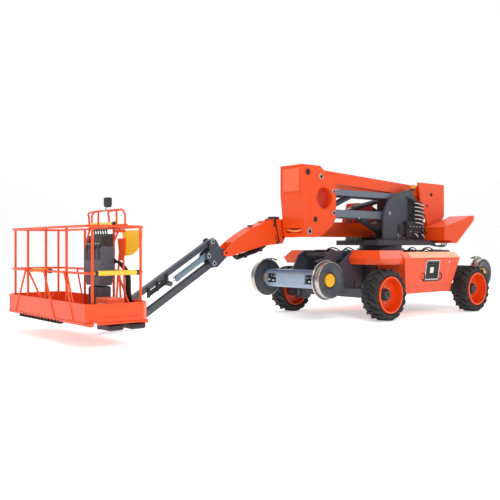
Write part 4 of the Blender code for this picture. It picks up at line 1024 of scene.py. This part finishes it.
@dataclass(frozen=True)
class LiftHeads:
    """Pins, holes with painted shade, weld lines and the pale painted highlight of the front and rear
    knuckles.
    """

    machine: Machine
    front_half: float = 0.25
    rear_half: float = 0.245
    front_pins: tuple[Pin, ...] = (Pin(1.85, 2.35, 0.046), Pin(1.54, 2.12, 0.036), Pin(1.54, 1.76, 0.042),
                                   Pin(2.115, 1.444, 0.050))
    front_holes: tuple[Point, ...] = ((2.156, 2.41, 0.048), (1.98, 1.641, 0.042))
    rear_holes: tuple[Point, ...] = ((-1.24, 2.205, 0.034), (-1.10, 1.985, 0.020))
    recess: Point = (1.764, 2.0)

    def build(self) -> None:
        """Dress both knuckles."""
        for name, half, pins, holes in (("front_knuckle", self.front_half, self.front_pins, self.front_holes),
                                        ("rear_knuckle", self.rear_half, (), self.rear_holes)):
            metal, dark, rims = Shape(), Shape(), Shape()
            for side in (1, -1) if name == "front_knuckle" else (1,):
                for pin in pins:
                    pin.add(metal, dark, side * half, side)
                for x, z, r in holes:
                    # Painted shade: the darker orange rims and the near black centres stand for shade in the
                    # holes.
                    rims.ring(r, r + 0.010, -0.002, 0.004, (x, side * half, z), (0, side, 0), 28)
                    dark.lathe([(r, -0.002), (r, 0.001), (0.002, 0.001)], (x, side * half, z),
                               (0, side, 0), 28)
            if pins:
                self.machine.put(name + "_pin_heads", metal, Paint.BOLT, name)
            self.machine.put(name + "_hole_rims", rims, Paint.SHADE_AND_SEAM, name)
            self.machine.put(name + "_pin_centres", dark, Paint.HOLLOW_SHADE, name)
        self.front()

    def front(self) -> None:
        """Recess ring, weld beads, the pale painted highlight on the front face, the painted shade in the
        recess and the tube in the slot of the front knuckle.
        """
        ring, weld, film, tube = Shape(), Shape(), Shape(), Shape()
        for side in (1, -1):
            y = side * (self.front_half + 0.0005)
            ring.ring(0.181, 0.196, -0.001, 0.005, (self.recess[0], y, self.recess[1]), (0, side, 0), 56)
            rib = ((1.93, 2.46), (1.98, 2.32), (2.04, 2.16), (2.075, 2.0), (2.09, 1.84),
                   (2.085, 1.68), (2.06, 1.56))
            heel = ((1.56, 1.60), (1.74, 1.46), (1.90, 1.40), (2.02, 1.385))
            for bead, radius in ((rib, 0.006), (heel, 0.004)):
                weld.tube([(x, side * self.front_half, z) for x, z in bead], radius, 8)
        for z in (1.62, 2.04):
            weld.block((2.2, -0.222, z), (2.255 + (z - 1.62) * 0.10, 0.222, z + 0.004), 0.001)
        # Painted highlight: a thin pale sheet on the front face, which looks pale where the light falls on
        # it.
        film.slab([(-0.185, 2.10), (0.185, 2.10), (0.185, 2.47), (-0.185, 2.47)], 2.2995,
                  2.3015, "YZ", 0.0006)
        # The tube in the slot is drawn in the pale orange of painted highlight.
        sag = ((2.205, -0.17, 1.475), (2.225, -0.06, 1.455), (2.225, 0.05, 1.450), (2.205, 0.17, 1.470))
        tube.tube(sag, 0.018)
        self.machine.put("knuckle_recess_ring", ring, Paint.ORANGE, "front_knuckle")
        self.machine.put("knuckle_weld_beads", weld, Paint.ORANGE, "front_knuckle")
        self.machine.put("knuckle_front_highlight", film, Paint.PALE, "front_knuckle")
        self.machine.put("knuckle_slot_tube", tube, Paint.PAINTED_HIGHLIGHT, "front_knuckle")
        # Painted shade: a darker orange floor inside the recess, where shade falls.
        cups = Shape()
        for side in (1, -1):
            cups.lathe([(0.1775, 0.0), (0.1775, 0.004), (0.002, 0.004)],
                       (self.recess[0], side * 0.176, self.recess[1]), (0, side, 0), 48)
        self.machine.put("knuckle_recess_floor", cups, Paint.SHADE_AND_SEAM, "front_knuckle")


@dataclass(frozen=True)
class Turret:
    """Hose looms, valves, pin heads, deck edge, far hood and beacon of the turntable."""

    machine: Machine
    face: float = 0.302

    def loom(self) -> None:
        """Hoses that leave the valve block, run up the plate in waves and fold over its rear edge.

        Hose k rises at x = -0.44 - 0.040 k in a wave of 0.012 along X, between 0.020 and 0.064 off the plate.
        Guarded hoses climb the rear of the bundle as stacked loops.
        """
        hoses, guards, ties = Shape(), Shape(), Shape()
        y = self.face
        for k in range(9):
            x = -0.44 - 0.040 * k
            off = y + 0.020 + 0.022 * (k % 3)
            z = np.linspace(1.60, 2.06 - 0.018 * k, 7)
            path = [(x + 0.012 * math.sin(2.2 * i + k), off + 0.014 * math.sin(1.7 * i + k), h)
                    for i, h in enumerate(z)]
            top = [(x + 0.05, off - 0.005, z[-1] + 0.05), (x + 0.11, y - 0.02, z[-1] + 0.045)]
            hoses.tube([(-0.42 - 0.03 * k, y + 0.05, 1.50), *path, *top], 0.0105, 10, 4)
        for k in range(13):
            z, reach = 1.60 + 0.036 * k, 0.060 * math.sin(math.pi * (k + 1.5) / 15)
            x0, x1 = -0.56, -0.76 - reach
            loop = [(x0, y + 0.055, z + 0.010), (x0 - 0.04, y + 0.088, z + 0.004),
                    (x1 + 0.05, y + 0.092, z - 0.012), (x1, y + 0.060, z - 0.028),
                    (x1 + 0.02, y + 0.020, z - 0.022)]
            (guards if k % 2 else hoses).tube(loop, 0.0095, 10, 4)
        ports = ((-0.40, 1.47), (-0.50, 1.43), (-0.60, 1.46), (-0.70, 1.42), (-0.78, 1.50))
        for k, (x, z) in enumerate(ports):
            loop = [(x, y + 0.075, z), (x - 0.01, y + 0.125, z - 0.01), (x - 0.05, y + 0.13, z - 0.05),
                    (x - 0.09, y + 0.09, z - 0.04), (x - 0.10, y + 0.03, z + 0.02 * k)]
            (guards if k % 2 else hoses).tube(loop, 0.010, 10, 4)
            ties.lathe([(0.016, 0.0), (0.016, 0.022), (0.011, 0.028)], (x, y + 0.068, z), (0, 1, 0), 6)
        self.machine.put("turret_hoses", hoses, Paint.HOSE, "turntable")
        self.machine.put("turret_hose_guards", guards, Paint.WHITE, "turntable")
        block = Shape()
        for k in range(5):
            block.block((-0.775 + 0.095 * k, y + 0.069, 1.52), (-0.70 + 0.095 * k, y + 0.100, 1.60))
            ties.lathe([(0.012, 0.0), (0.012, 0.02), (0.007, 0.026)],
                       (-0.737 + 0.095 * k, y + 0.099, 1.56), (0, 1, 0), 6)
        block.block((-0.30, y - 0.001, 1.40), (-0.14, y + 0.030, 1.60), 0.006)
        self.machine.put("valve_stems", block, Paint.BLACK, "turntable")
        self.machine.put("valve_fittings", ties, Paint.BOLT, "turntable")

    def plates(self) -> None:
        """Pin heads and the bright oval on the two plates, and the hoses and clamps along the deck."""
        metal, dark, hoses = Shape(), Shape(), Shape()
        for side, y in ((1, self.face), (-1, -0.282)):
            for pin in (Pin(-0.44, 1.76, 0.044), Pin(-0.44, 2.12, 0.036), Pin(-0.15, 1.40, 0.036)):
                if side < 0 or pin.z < 1.5:  # the loom hides the two upper pins of the near plate
                    pin.add(metal, dark, y, side)
        metal.lathe([(0.030, -0.002), (0.030, 0.006), (0.002, 0.007)], (0.115, self.face, 1.80),
                    (0, 1, 0), 28)
        self.machine.put("turret_pin_heads", metal, Paint.BOLT, "turntable")
        self.machine.put("turret_pin_centres", dark, Paint.HOLLOW_SHADE, "turntable")
        for k, y in enumerate((0.33, 0.36, 0.385)):
            path = [(0.50 - 0.05 * k, y, 1.318), (0.15, y + 0.01, 1.322), (-0.30, y - 0.006, 1.320),
                    (-0.80, y + 0.008, 1.322), (-0.90, y, 1.290), (-0.84, y - 0.04, 1.240)]
            hoses.tube(path, 0.010, 10)
        sag = [(-1.16, 0.26, 1.25), (-1.24, 0.34, 1.215), (-1.40, 0.36, 1.195), (-1.58, 0.34, 1.215),
               (-1.70, 0.28, 1.255)]
        for k in range(3):
            hoses.tube([(x, y - 0.05 * k, z + 0.006 * k) for x, y, z in sag], 0.014, 10)
        self.machine.put("deck_hoses", hoses, Paint.HOSE, "turntable")
        clamps = Shape()
        for x in (0.35, 0.0, -0.35, -0.65):
            clamps.block((x, 0.315, 1.3095), (x + 0.03, 0.398, 1.336), 0.003)
        clamps.block((0.545, -0.30, 1.312), (0.65, 0.10, 1.322), 0.002)
        clamps.lathe([(0.030, 0.0), (0.030, 0.035), (0.020, 0.055), (0.002, 0.058)], (0.60, 0.02, 1.320),
                     (0, 0, 1), 20)
        self.machine.put("deck_clamps", clamps, Paint.BLACK, "turntable")

    def hood(self) -> None:
        """Hood in the darker orange of painted shade, louvres and hoses over the far tank."""
        top = self.machine.box("fuel_tank")[1][2] - 0.06
        red, dark, pipe = Shape(), Shape(), Shape()
        # Painted shade: the hood on the far side is drawn darker orange because it lies in shade.
        red.slab([(-0.02, top + 0.02), (0.05, top + 0.02), (-0.10, top + 0.40), (-0.55, top + 0.40),
                  (-0.55, top + 0.02)], -0.93, -0.63, edge=0.008)
        for k in range(5):
            dark.block((-0.60 - 0.055 * k, -0.92, top + 0.062),
                       (-0.565 - 0.055 * k, -0.64, top + 0.34 - 0.02 * k))
        self.machine.put("far_hood", red, Paint.SHADE_AND_SEAM, "turntable")
        self.machine.put("hood_louvres", dark, Paint.BLACK, "turntable")
        for k, y in enumerate((-0.66, -0.70, -0.74)):
            pipe.tube([(-0.05, y, top - 0.12), (0.02 + 0.02 * k, y, top - 0.02),
                       (0.08 + 0.02 * k, y, top + 0.10), (-0.02, y, top + 0.28)], 0.012, 10)
        self.machine.put("hood_hoses", pipe, Paint.HOSE, "turntable")

    def beacon(self) -> None:
        """Amber beacon on its dark pole and bracket, in place of the plain lamp."""
        at = (-0.60, self.face - 0.02, 0.0)
        pole = Shape().lathe([(0.016, 2.245), (0.016, 2.262), (0.054, 2.264), (0.056, 2.276), (0.044, 2.282)],
                             at, (0, 0, 1), 28)
        pole.block((-0.64, 0.267, 2.2405), (-0.49, 0.297, 2.252), 0.002)
        self.machine.put("beacon_base", pole, Paint.BLACK, "turntable")
        lens = Shape().lathe([(0.043, 2.280), (0.050, 2.284), (0.051, 2.325), (0.046, 2.344), (0.030, 2.356),
                              (0.002, 2.360)], at, (0, 0, 1), 32)
        self.machine.put("beacon_lens", lens, Paint.LENS, "turntable", ["beacon"])

    def build(self) -> None:
        """Make everything on the turntable."""
        self.loom()
        self.plates()
        self.hood()
        self.beacon()


# ---------------------------------------------------------------- boom and jib
@dataclass(frozen=True)
class Boom:
    """Wear strips, bolts and the hose bundle of the telescopic boom, and the jib's hose and fittings."""

    machine: Machine
    y: float = -0.42
    half: float = 0.115

    def build(self) -> None:
        """Dress the boom head, gooseneck and jib."""
        strip, bolts, dark = Shape(), Shape(), Shape()
        for side in (1, -1):
            face = self.y + side * self.half
            lo, hi = sorted((face - side * 0.001, face + side * 0.007))
            strip.slab([(2.352, 1.60), (2.372, 1.60), (2.372, 1.655), (2.30, 1.40), (2.262, 1.28),
                        (2.30, 1.236), (2.345, 1.236), (2.330, 1.262), (2.300, 1.300), (2.325, 1.40),
                        (2.400, 1.640), (2.352, 1.668)][::-1], lo, hi, edge=0.001)
            bolts.bolts((2.19, face, 1.50), (0, side, 0), 0.055, 4, 0.009, 0.008)
            # Painted shade: near black discs for the shade in the holes of the boom head and the knuckle.
            for x, z in ((2.40, 1.545), (3.40, 1.095), (2.19, 1.36)):
                dark.lathe([(0.020, -0.002), (0.020, 0.004), (0.012, 0.007), (0.002, 0.007)], (x, face, z),
                           (0, side, 0), 20)
        strip.block((2.34, self.y - 0.121, 1.632), (2.382, self.y + 0.121, 1.668), 0.004)
        strip.block((2.20, self.y - 0.09, 1.655), (2.36, self.y + 0.05, 1.700), 0.012)
        self.machine.put("boom_wear_strips", strip, Paint.BLACK, "boom")
        self.machine.put("boom_head_bolts", bolts, Paint.BOLT, "boom")
        self.machine.put("boom_hole_shades", dark, Paint.HOLLOW_SHADE, "telescope")
        bundle, clamps = Shape(), Shape()
        for k in range(5):
            y = self.y - 0.055 + 0.026 * k
            drop = 0.02 * (k % 3)
            bundle.tube([(2.52, y, 1.215), (2.66, y, 1.155 - drop), (2.84, y, 1.105 - drop),
                         (3.00, y, 1.060 - drop), (3.10, y, 1.040 - drop), (3.20, y, 1.075)], 0.015, 10)
        for x, z in ((2.62, 1.16), (2.95, 1.06)):
            clamps.block((x, self.y - 0.09, z - 0.045), (x + 0.04, self.y + 0.09, z + 0.028), 0.006)
        clamps.block((2.80, self.y - 0.05, 1.525), (2.84, self.y + 0.05, 1.548), 0.004)
        self.machine.put("gooseneck_hoses", bundle, Paint.HOSE, "telescope")
        self.machine.put("gooseneck_clamps", clamps, Paint.BLACK, "telescope")
        self.jib()

    def jib(self) -> None:
        """Pin heads, valve, hose sleeves, straps and the enamelled bands of the cylinder."""
        metal, dark, sleeve, valve, strap, bands = (Shape() for _ in range(6))
        for side in (1, -1):
            for pin in (Pin(3.65, 1.27, 0.036), Pin(3.62, 0.935, 0.036), Pin(3.72, 1.05, 0.036),
                        Pin(3.39, 1.095, 0.038)):
                pin.add(metal, dark, self.y + side * 0.09, side)
        self.machine.put("jib_pin_heads", metal, Paint.BOLT, "jib_knuckle")
        self.machine.put("jib_pin_centres", dark, Paint.HOLLOW_SHADE, "jib_knuckle")
        valve.block((3.455, self.y - 0.066, 1.005), (3.498, self.y + 0.066, 1.060), 0.006)
        for y in (-0.04, 0.0, 0.04):
            valve.lathe([(0.012, 0.0), (0.012, 0.03), (0.008, 0.036)],
                        (3.475, self.y + y, 1.055), (0, 0, 1), 8)
        self.machine.put("jib_valve", valve, Paint.BOLT, "jib_knuckle")
        first, last = np.array((4.45, 0.70)), np.array((4.80, 0.491))
        path = [first + (last - first) * t for t in np.linspace(0, 1, 6)]
        for lift, radius in ((0.02, 0.019), (-0.022, 0.016)):
            sleeve.tube([(x, self.y + 0.055, z + lift) for x, z in path], radius, 12)
        self.machine.put("jib_hose_sleeve", sleeve, Paint.HOSE, "jib_upper")
        for x in (4.47, 4.63, 4.78):
            z = first[1] - (x - first[0]) * 0.596
            strap.block((x - 0.016, self.y + 0.030, z - 0.045), (x + 0.016, self.y + 0.080, z + 0.100), 0.004)
        self.machine.put("jib_straps", strap, Paint.BLACK, "jib_upper")
        base, lug = np.array((3.72, 1.05)), np.array((4.40, 0.632))
        run = (lug - base) / np.linalg.norm(lug - base)
        for distance in (0.10, 0.62):
            at = base + run * distance
            bands.lathe([(0.0465, -0.02), (0.051, -0.016), (0.051, 0.016), (0.0465, 0.02)],
                        (at[0], self.y, at[1]), (run[0], 0, run[1]), 28)
        self.machine.put("jib_barrel_bands", bands, Paint.JIB, "jib_barrel")


# ---------------------------------------------------------------- basket
@dataclass(frozen=True)
class Basket:
    """Foam sleeves, padded bar, guards, console details, lamp, supports, hoses and bumper of the basket."""

    machine: Machine
    back: float = 5.63
    front: float = 6.37
    left: float = 0.96
    right: float = -1.46
    floor: float = 0.336
    mid: float = 0.886
    top: float = 1.436

    def sleeves(self) -> None:
        """Yellow foam round the mid rails, with black end rings, and cream padding on the top rail."""
        foam, ends, cream, bar_foam, bar_ends = (Shape() for _ in range(5))
        r = 0.026
        foam.tube([(self.front - 0.02, y, self.mid) for y in (-0.20, -0.36, -0.52, -0.72)][::-1], r, 14, 1)
        for y in (-0.18, -0.74):
            ends.lathe([(r + 0.004, -0.02), (r + 0.004, 0.02)], (self.front - 0.02, y, self.mid),
                       (0, 1, 0), 16)
        lo, hi = self.machine.box("entry_bar")
        bar_foam.lathe([(0.029, lo[0] + 0.045), (0.029, hi[0] - 0.045)], (0, (lo[1] + hi[1]) / 2, self.mid),
                       (1, 0, 0), 18)
        for x in (lo[0] + 0.028, hi[0] - 0.028):
            bar_ends.lathe([(0.032, x - 0.018), (0.032, x + 0.018)], (0, (lo[1] + hi[1]) / 2, self.mid),
                           (1, 0, 0), 18)
        padding = [(self.back + 0.02, y, self.top + 0.052) for y in (-0.42, -0.20, 0.05, 0.20)]
        cream.tube(padding, 0.030, 14, 1)
        ends.lathe([(0.034, -0.02), (0.034, 0.02)], (self.back + 0.02, 0.22, self.top + 0.052), (0, 1, 0), 16)
        self.machine.put("mid_rail_foam", foam, Paint.FOAM, "basket")
        self.machine.put("foam_end_rings", ends, Paint.BLACK, "basket")
        self.machine.put("top_rail_padding", cream, Paint.CREAM, "basket")
        self.machine.put("entry_bar_foam", bar_foam, Paint.FOAM, "entry_bar")
        self.machine.put("entry_bar_rings", bar_ends, Paint.BLACK, "entry_bar")

    def guards(self) -> None:
        """Bent orange hoops over the console, its V support, plan struts and toe board gussets."""
        tube, plate = Shape(), Shape()
        z, r = self.top, 0.0135
        for y0, y1 in ((-0.50, -0.05), (0.06, 0.44)):
            tube.tube([(self.back + 0.005, y0, z), (self.back + 0.02, y0, z + 0.15),
                       (self.back + 0.05, y0 + 0.05, z + 0.21), (self.back + 0.06, (y0 + y1) / 2, z + 0.225),
                       (self.back + 0.05, y1, z + 0.23)], r, 10, 5)
            tube.tube([(self.back + 0.05, y1 - 0.12, z + 0.01),
                       (self.back + 0.05, y1 - 0.12, z + 0.222)], r, 10, 1)
        tube.tube([(self.back + 0.01, -0.50, z - 0.01), (self.back + 0.03, -0.50, z - 0.12),
                   (self.back + 0.06, -0.36, z - 0.36), (self.back + 0.07, -0.22, z - 0.50)], r, 10, 5)
        tube.tube([(self.back + 0.01, 0.33, z - 0.01), (self.back + 0.10, 0.16, z - 0.38),
                   (self.back + 0.10, 0.12, z - 0.50)], r, 10, 3)
        for y0, y1, top in ((0.36, 0.30, 1.10), (0.46, 0.54, 1.10), (0.36, 0.44, 0.88)):
            tube.tube([(self.back + 0.03, y0, top), (self.back + 0.05, y1, self.floor + 0.02)], r, 10, 1)
        for y0, y1 in ((-0.86, -0.62), (0.28, 0.66)):
            tube.tube([(self.back + 0.02, y0, self.mid),
                       (self.back + 0.045, y1, self.floor + 0.10)], 0.012, 10, 1)
        for x, lean in ((self.back + 0.08, 0.085), (self.front - 0.08, -0.085)):
            for y, out in ((self.left, 1), (self.right, -1)):
                upper = (x, y + out * 0.024, self.floor + 0.16)
                tube.tube([upper, (x + lean, y + out * 0.034, self.floor + 0.065)], 0.011, 10, 1)
        plate.slab([(0.33, 1.30), (0.52, 1.30), (0.50, 1.08), (0.44, 1.02), (0.38, 1.02)], self.back + 0.030,
                   self.back + 0.042, "YZ")
        plate.block((self.back + 0.02, 0.24, self.top - 0.06),
                    (self.back + 0.05, 0.50, self.top - 0.02), 0.006)
        self.machine.put("console_hoops", tube, Paint.ORANGE, "basket")
        self.machine.put("console_bracket", plate, Paint.ORANGE, "basket")
        lip = Shape()
        for y, s in ((self.left + 0.040, 1), (self.right - 0.040, -1)):
            lip.block((self.back + 0.09, y - s * 0.002, self.floor + 0.034),
                      (self.front - 0.09, y + s * 0.007, self.floor + 0.046), 0.002)
            lip.block((self.back + 0.09, y - s * 0.002, self.floor + 0.182),
                      (self.front - 0.09, y + s * 0.010, self.floor + 0.198), 0.002)
            lip.tube([(self.back + 0.07, y + s * 0.006, self.floor - 0.030),
                      (self.front - 0.07, y + s * 0.006, self.floor - 0.030)], 0.011, 10, 1)
        front = [(self.front + 0.038, y, self.floor - 0.030) for y in (self.right + 0.04, self.left - 0.04)]
        lip.tube(front, 0.011, 10, 1)
        lip.block((self.front + 0.018, self.right + 0.10, self.floor + 0.184),
                  (self.front + 0.030, self.left - 0.10, self.floor + 0.198), 0.002)
        for y0, y1 in ((-0.86, -1.16), (-0.26, 0.10), (0.34, 0.62)):
            lip.tube([(self.front + 0.026, y0, self.mid - 0.01),
                      (self.front + 0.042, y1, self.floor - 0.025)], 0.013, 10, 1)
            lip.block((self.front + 0.014, y0 - 0.025, self.mid - 0.03),
                      (self.front + 0.034, y0 + 0.025, self.mid + 0.015), 0.004)
        self.machine.put("toe_board_lips", lip, Paint.ORANGE, "basket")

    def console(self) -> None:
        """Sloped control box, lever row, switch caps, dark column, document box and lamp."""
        lo, hi = self.machine.box("console")
        grey, dark, red, column, chrome = (Shape() for _ in range(5))
        x0, x1, y0, y1 = lo[0] - 0.004, hi[0] + 0.004, lo[1] - 0.004, hi[1] + 0.004
        grey.slab([(x0, 0.80), (x1 - 0.03, 0.80), (x1, 0.86), (x1, 1.16), (x1 - 0.03, 1.20), (x0, 1.20)], y0,
                  y1, edge=0.012)
        grey.slab([(y0 + 0.05, 0.70), (y1 - 0.05, 0.70), (y1, 0.82), (y0, 0.82)], x0 + 0.01,
                  x1 - 0.01, "YZ", 0.008)
        column.block((lo[0] - 0.003, -0.115, self.floor + 0.001), (lo[0] + 0.155, 0.225, 0.69), 0.018)
        for k in range(6):
            column.block((lo[0] - 0.006, -0.10 + 0.052 * k, self.floor + 0.03),
                         (lo[0] + 0.160, -0.085 + 0.052 * k, 0.66), 0.003)
        dark.slab([(x0 + 0.005, 1.19), (x1 - 0.01, 1.19), (x1 - 0.04, 1.33), (x0 + 0.02, 1.36)], y0 + 0.01,
                  y1 - 0.01, edge=0.010)
        for y in np.linspace(y0 + 0.06, y1 - 0.06, 6):
            dark.lathe([(0.020, 0.0), (0.024, 0.010), (0.010, 0.020), (0.007, 0.055), (0.014, 0.066),
                        (0.014, 0.084), (0.004, 0.090)], (x0 + 0.075, y, 1.335), (0.15, 0, 1), 16)
            chrome.lathe([(0.013, 0.0), (0.013, 0.010), (0.004, 0.012)], (x1 - 0.018, y, 1.23),
                         (1, 0, 0.35), 12)
        red.lathe([(0.030, 0.0), (0.034, 0.010), (0.030, 0.026), (0.004, 0.032)],
                  (x1 - 0.03, y0 + 0.07, 1.28), (1, 0, 0.35), 24)
        for y in (-0.06, 0.05, 0.16, 0.27):
            dark.slab([(x1 - 0.012, 1.185), (x1 + 0.012, 1.185), (x1 + 0.006, 1.03), (x1 - 0.012, 1.03)],
                      y - 0.034, y + 0.024, edge=0.008)
        self.machine.put("console_shell", grey, Paint.GREY, "basket", ["console"])
        self.machine.put("console_column", column, Paint.SLATE, "basket")
        self.machine.put("console_controls", dark, Paint.BLACK, "basket")
        self.machine.put("console_stop_button", red, Paint.RED, "basket")
        self.machine.put("console_switches", chrome, Paint.CHROME, "basket")
        box, paper = Shape(), Shape()
        # The document box is drawn in the pale orange of painted highlight, where light falls on it.
        box.block((self.back + 0.10, 0.30, self.floor + 0.005),
                  (self.back + 0.34, 0.62, self.floor + 0.225), 0.014)
        self.machine.put("document_box", box, Paint.PALE, "basket")
        paper.block((self.back + 0.338, 0.40, self.floor + 0.06),
                    (self.back + 0.3425, 0.52, self.floor + 0.16), 0.001)
        self.machine.put("document_label", paper, Paint.LABEL, "basket")
        lamp, rod = Shape(), Shape()
        rod.tube([(self.back + 0.05, -0.05, self.top + 0.225), (self.back + 0.05, 0.03, self.top + 0.25),
                  (self.back + 0.05, 0.09, self.top + 0.29)], 0.007, 8, 3)
        lamp.slab([(0.055, self.top + 0.275), (0.12, self.top + 0.275), (0.135, self.top + 0.31),
                   (0.135, self.top + 0.40), (0.045, self.top + 0.40), (0.045, self.top + 0.30)],
                  self.back + 0.01, self.back + 0.09, "YZ", 0.008)
        self.machine.put("work_lamp_rod", rod, Paint.BOLT, "basket")
        self.machine.put("work_lamp", lamp, Paint.BLACK, "basket")

    def hoses(self) -> None:
        """Hoses from under the basket's back up to the console."""
        hoses, ends = Shape(), Shape()
        for k in range(4):
            y = 0.42 + 0.03 * k
            hoses.tube([(self.back + 0.10, 0.22, 1.10 - 0.05 * k), (self.back + 0.04, 0.32 + 0.02 * k, 1.00),
                        (self.back - 0.01, y + 0.02, 0.86), (self.back - 0.01, y + 0.05, 0.64),
                        (self.back - 0.02, y + 0.07, 0.48), (self.back - 0.035, y + 0.02, 0.36 + 0.01 * k),
                        (self.back - 0.01, y - 0.10, 0.300)], 0.012, 10)
        for k in range(5):
            y = -0.20 - 0.055 * k
            hoses.tube([(self.back - 0.03, y, 0.44), (self.back + 0.03, y + 0.05, 0.56),
                        (self.back + 0.09, y + 0.10, 0.50), (self.back + 0.10, y + 0.12, 0.40)], 0.010, 10)
            ends.lathe([(0.014, 0.0), (0.014, 0.03), (0.010, 0.036)],
                       (self.back - 0.03, y, 0.42), (0, 0, 1), 8)
        self.machine.put("basket_hoses", hoses, Paint.HOSE, "basket")
        self.machine.put("basket_hose_ends", ends, Paint.BOLT, "basket")

    def bumper(self) -> None:
        """Perforated black bar under the front edge and rubber block under the side."""
        bar = Shape()
        inner, outer, z = self.front - 0.04, self.front + 0.03, 0.268
        for y in np.linspace(-1.05, 0.15, 13):
            bar.block((inner, y - 0.012, z - 0.010), (outer, y + 0.012, z + 0.030), 0.003)
        for low in (z - 0.020, z + 0.028):
            bar.block((inner, -1.08, low), (outer, 0.18, low + 0.012), 0.003)
        for x in (5.62, 5.92):
            bar.block((x, 0.70, 0.205), (x + 0.20, 0.94, 0.276), 0.014)
        self.machine.put("basket_bumpers", bar, Paint.BLACK, "basket")

    def build(self) -> None:
        """Make everything on the basket."""
        self.sleeves()
        self.guards()
        self.console()
        self.hoses()
        self.bumper()


# ---------------------------------------------------------------- finishes of the CAD nodes
SLOT_FINISH = {Slot.ORANGE: Paint.ORANGE, Slot.SLATE: Paint.SLATE, Slot.STEEL: Paint.STEEL,
               Slot.BLACK: Paint.BLACK, Slot.RUBBER: Paint.RUBBER, Slot.YELLOW: Paint.YELLOW,
               Slot.CHROME: Paint.CHROME}
NODE_FINISH = {"rail_arm_front": Paint.ARM_FRONT, "rail_arm_rear": Paint.ARM_REAR, "shield": Paint.SHIELD,
               "entry_bar": Paint.FOAM, "jib_lift_barrel": Paint.JIB, "engine_block": Paint.BOLT,
               "slew_ring": Paint.SLATE, "rail_wheel_front_left": Paint.SLATE,
               "rail_wheel_front_right": Paint.SLATE, "rail_wheel_rear_left": Paint.SLATE,
               "rail_wheel_rear_right": Paint.SLATE}


def dress_nodes() -> None:
    """Give every CAD node the finish of its slot, or its own."""
    slots = {part["node"]: part["material_slot"] for part in frame["record"]["subparts"]}
    for name, node in frame["nodes"].items():
        finish = NODE_FINISH.get(name, SLOT_FINISH[Slot(slots[name])])
        node.data.materials.clear()
        node.data.materials.append(finish.build())
        log.info("dressed %s in %s", name, finish.name)


# ---------------------------------------------------------------- studio
@dataclass(frozen=True)
class Studio:
    """Pale floor, soft light from above and both sides, and the camera."""

    machine: Machine
    lens: float = 48.7
    eye: tuple[float, float, float] = (9.96, 8.03, 1.20)
    look: tuple[float, float, float] = (-0.6455, -0.7638, 0.0)
    shift: float = -0.0074
    surround: float = 0.27
    lamps: tuple[tuple[str, Point, Point, float, float], ...] = (
        ("key", (6.0, 10.0, 7.5), (0, 0, 1.0), 4.0, 720),
        ("fill", (11.0, -2.0, 5.0), (1.5, 0, 1.0), 6.0, 230),
        ("top", (0.0, 0.5, 11.0), (0, 0, 0), 7.0, 480),
        ("back", (-9.0, 3.0, 6.0), (0, 0, 1.0), 6.0, 200))

    def place(self, name: str, data: Any, at: Vector, ahead: Vector) -> bpy.types.Object:
        """Put a lamp or a camera at a point, facing along a direction.

        Args:
            name: Object name.
            data: Light or camera data.
            at: Position.
            ahead: Direction it faces.

        Returns:
            The new object.
        """
        piece = bpy.data.objects.new(name, data)
        piece.matrix_world = Matrix.Translation(at) @ ahead.to_track_quat("-Z", "Y").to_matrix().to_4x4()
        bpy.context.scene.collection.objects.link(piece)
        return piece

    def floor(self) -> None:
        """Wide matt floor that rises into a backdrop in a smooth curve."""
        angle = np.linspace(0, np.pi / 2, 14)
        run = np.concatenate([[-40.0], 16 + 8 * np.sin(angle), [24.0]])
        rise = np.concatenate([[0.0], 8 * (1 - np.cos(angle)), [40.0]])
        ahead, across = np.array(self.look), np.array((self.look[1], -self.look[0], 0.0))
        width = np.array([-60.0, 60.0])
        pts = (ahead[None, None] * run[:, None, None] + across[None, None] * width[None, :, None]
               + np.array((0, 0, 1.0)) * (rise[:, None, None] - 0.002))
        n = len(run)
        faces = [(2 * i, 2 * i + 1, 2 * i + 3, 2 * i + 2) for i in range(n - 1)]
        mesh = bpy.data.meshes.new("studio_floor")
        mesh.from_pydata(pts.reshape(-1, 3).tolist(), [], faces)
        mesh.shade_smooth()
        mesh.materials.append(FloorPaint("matt white studio paint", "#FFFFFF", 0.85).build())
        piece = bpy.data.objects.new("studio_floor", mesh)
        bpy.context.scene.collection.objects.link(piece)

    def lamp(self, name: str, at: Point, target: Point, size: float, watts: float) -> None:
        """Add one square area light.

        Args:
            name: Light name.
            at: Position.
            target: Point it faces.
            size: Side length.
            watts: Power.
        """
        light = bpy.data.lights.new(name, "AREA")
        light.shape, light.size, light.energy = "SQUARE", size, watts
        self.place(name, light, Vector(at), Vector(target) - Vector(at))

    def build(self) -> None:
        """Make the studio and the camera."""
        self.floor()
        for name, at, target, size, watts in self.lamps:
            self.lamp(name, at, target, size, watts)
        world = bpy.data.worlds.new("soft white surround")
        world.use_nodes = True
        world.node_tree.nodes.clear()
        glow = add(world.node_tree, "Background", {"Color": hex_colour("#FFFFFF"), "Strength": self.surround})
        add(world.node_tree, "OutputWorld", {"Surface": glow.outputs[0]})
        bpy.context.scene.world = world
        bpy.context.scene.view_settings.view_transform = "Standard"
        data = bpy.data.cameras.new("camera")
        data.lens, data.sensor_width, data.shift_y, data.clip_end = self.lens, 36.0, self.shift, 200.0
        at = Vector(self.eye) + Vector(self.machine.origin)
        bpy.context.scene.camera = self.place("camera", data, at, Vector(self.look))


def main() -> None:
    """Dress the CAD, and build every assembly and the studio."""
    machine = Machine.found()
    dress_nodes()
    for corner, side in (("front_left", 1), ("front_right", -1), ("rear_left", 1), ("rear_right", -1)):
        Tyre(machine, corner, side).build()
    for end, way in (("front", 1), ("rear", -1)):
        RailGear(machine, end, way).build()
    for side in (1, -1):
        SideCover(machine, side).build()
    for assembly in (LiftHeads(machine), Turret(machine), Boom(machine), Basket(machine), Studio(machine)):
        assembly.build()


if __name__ == "__main__":
    main()
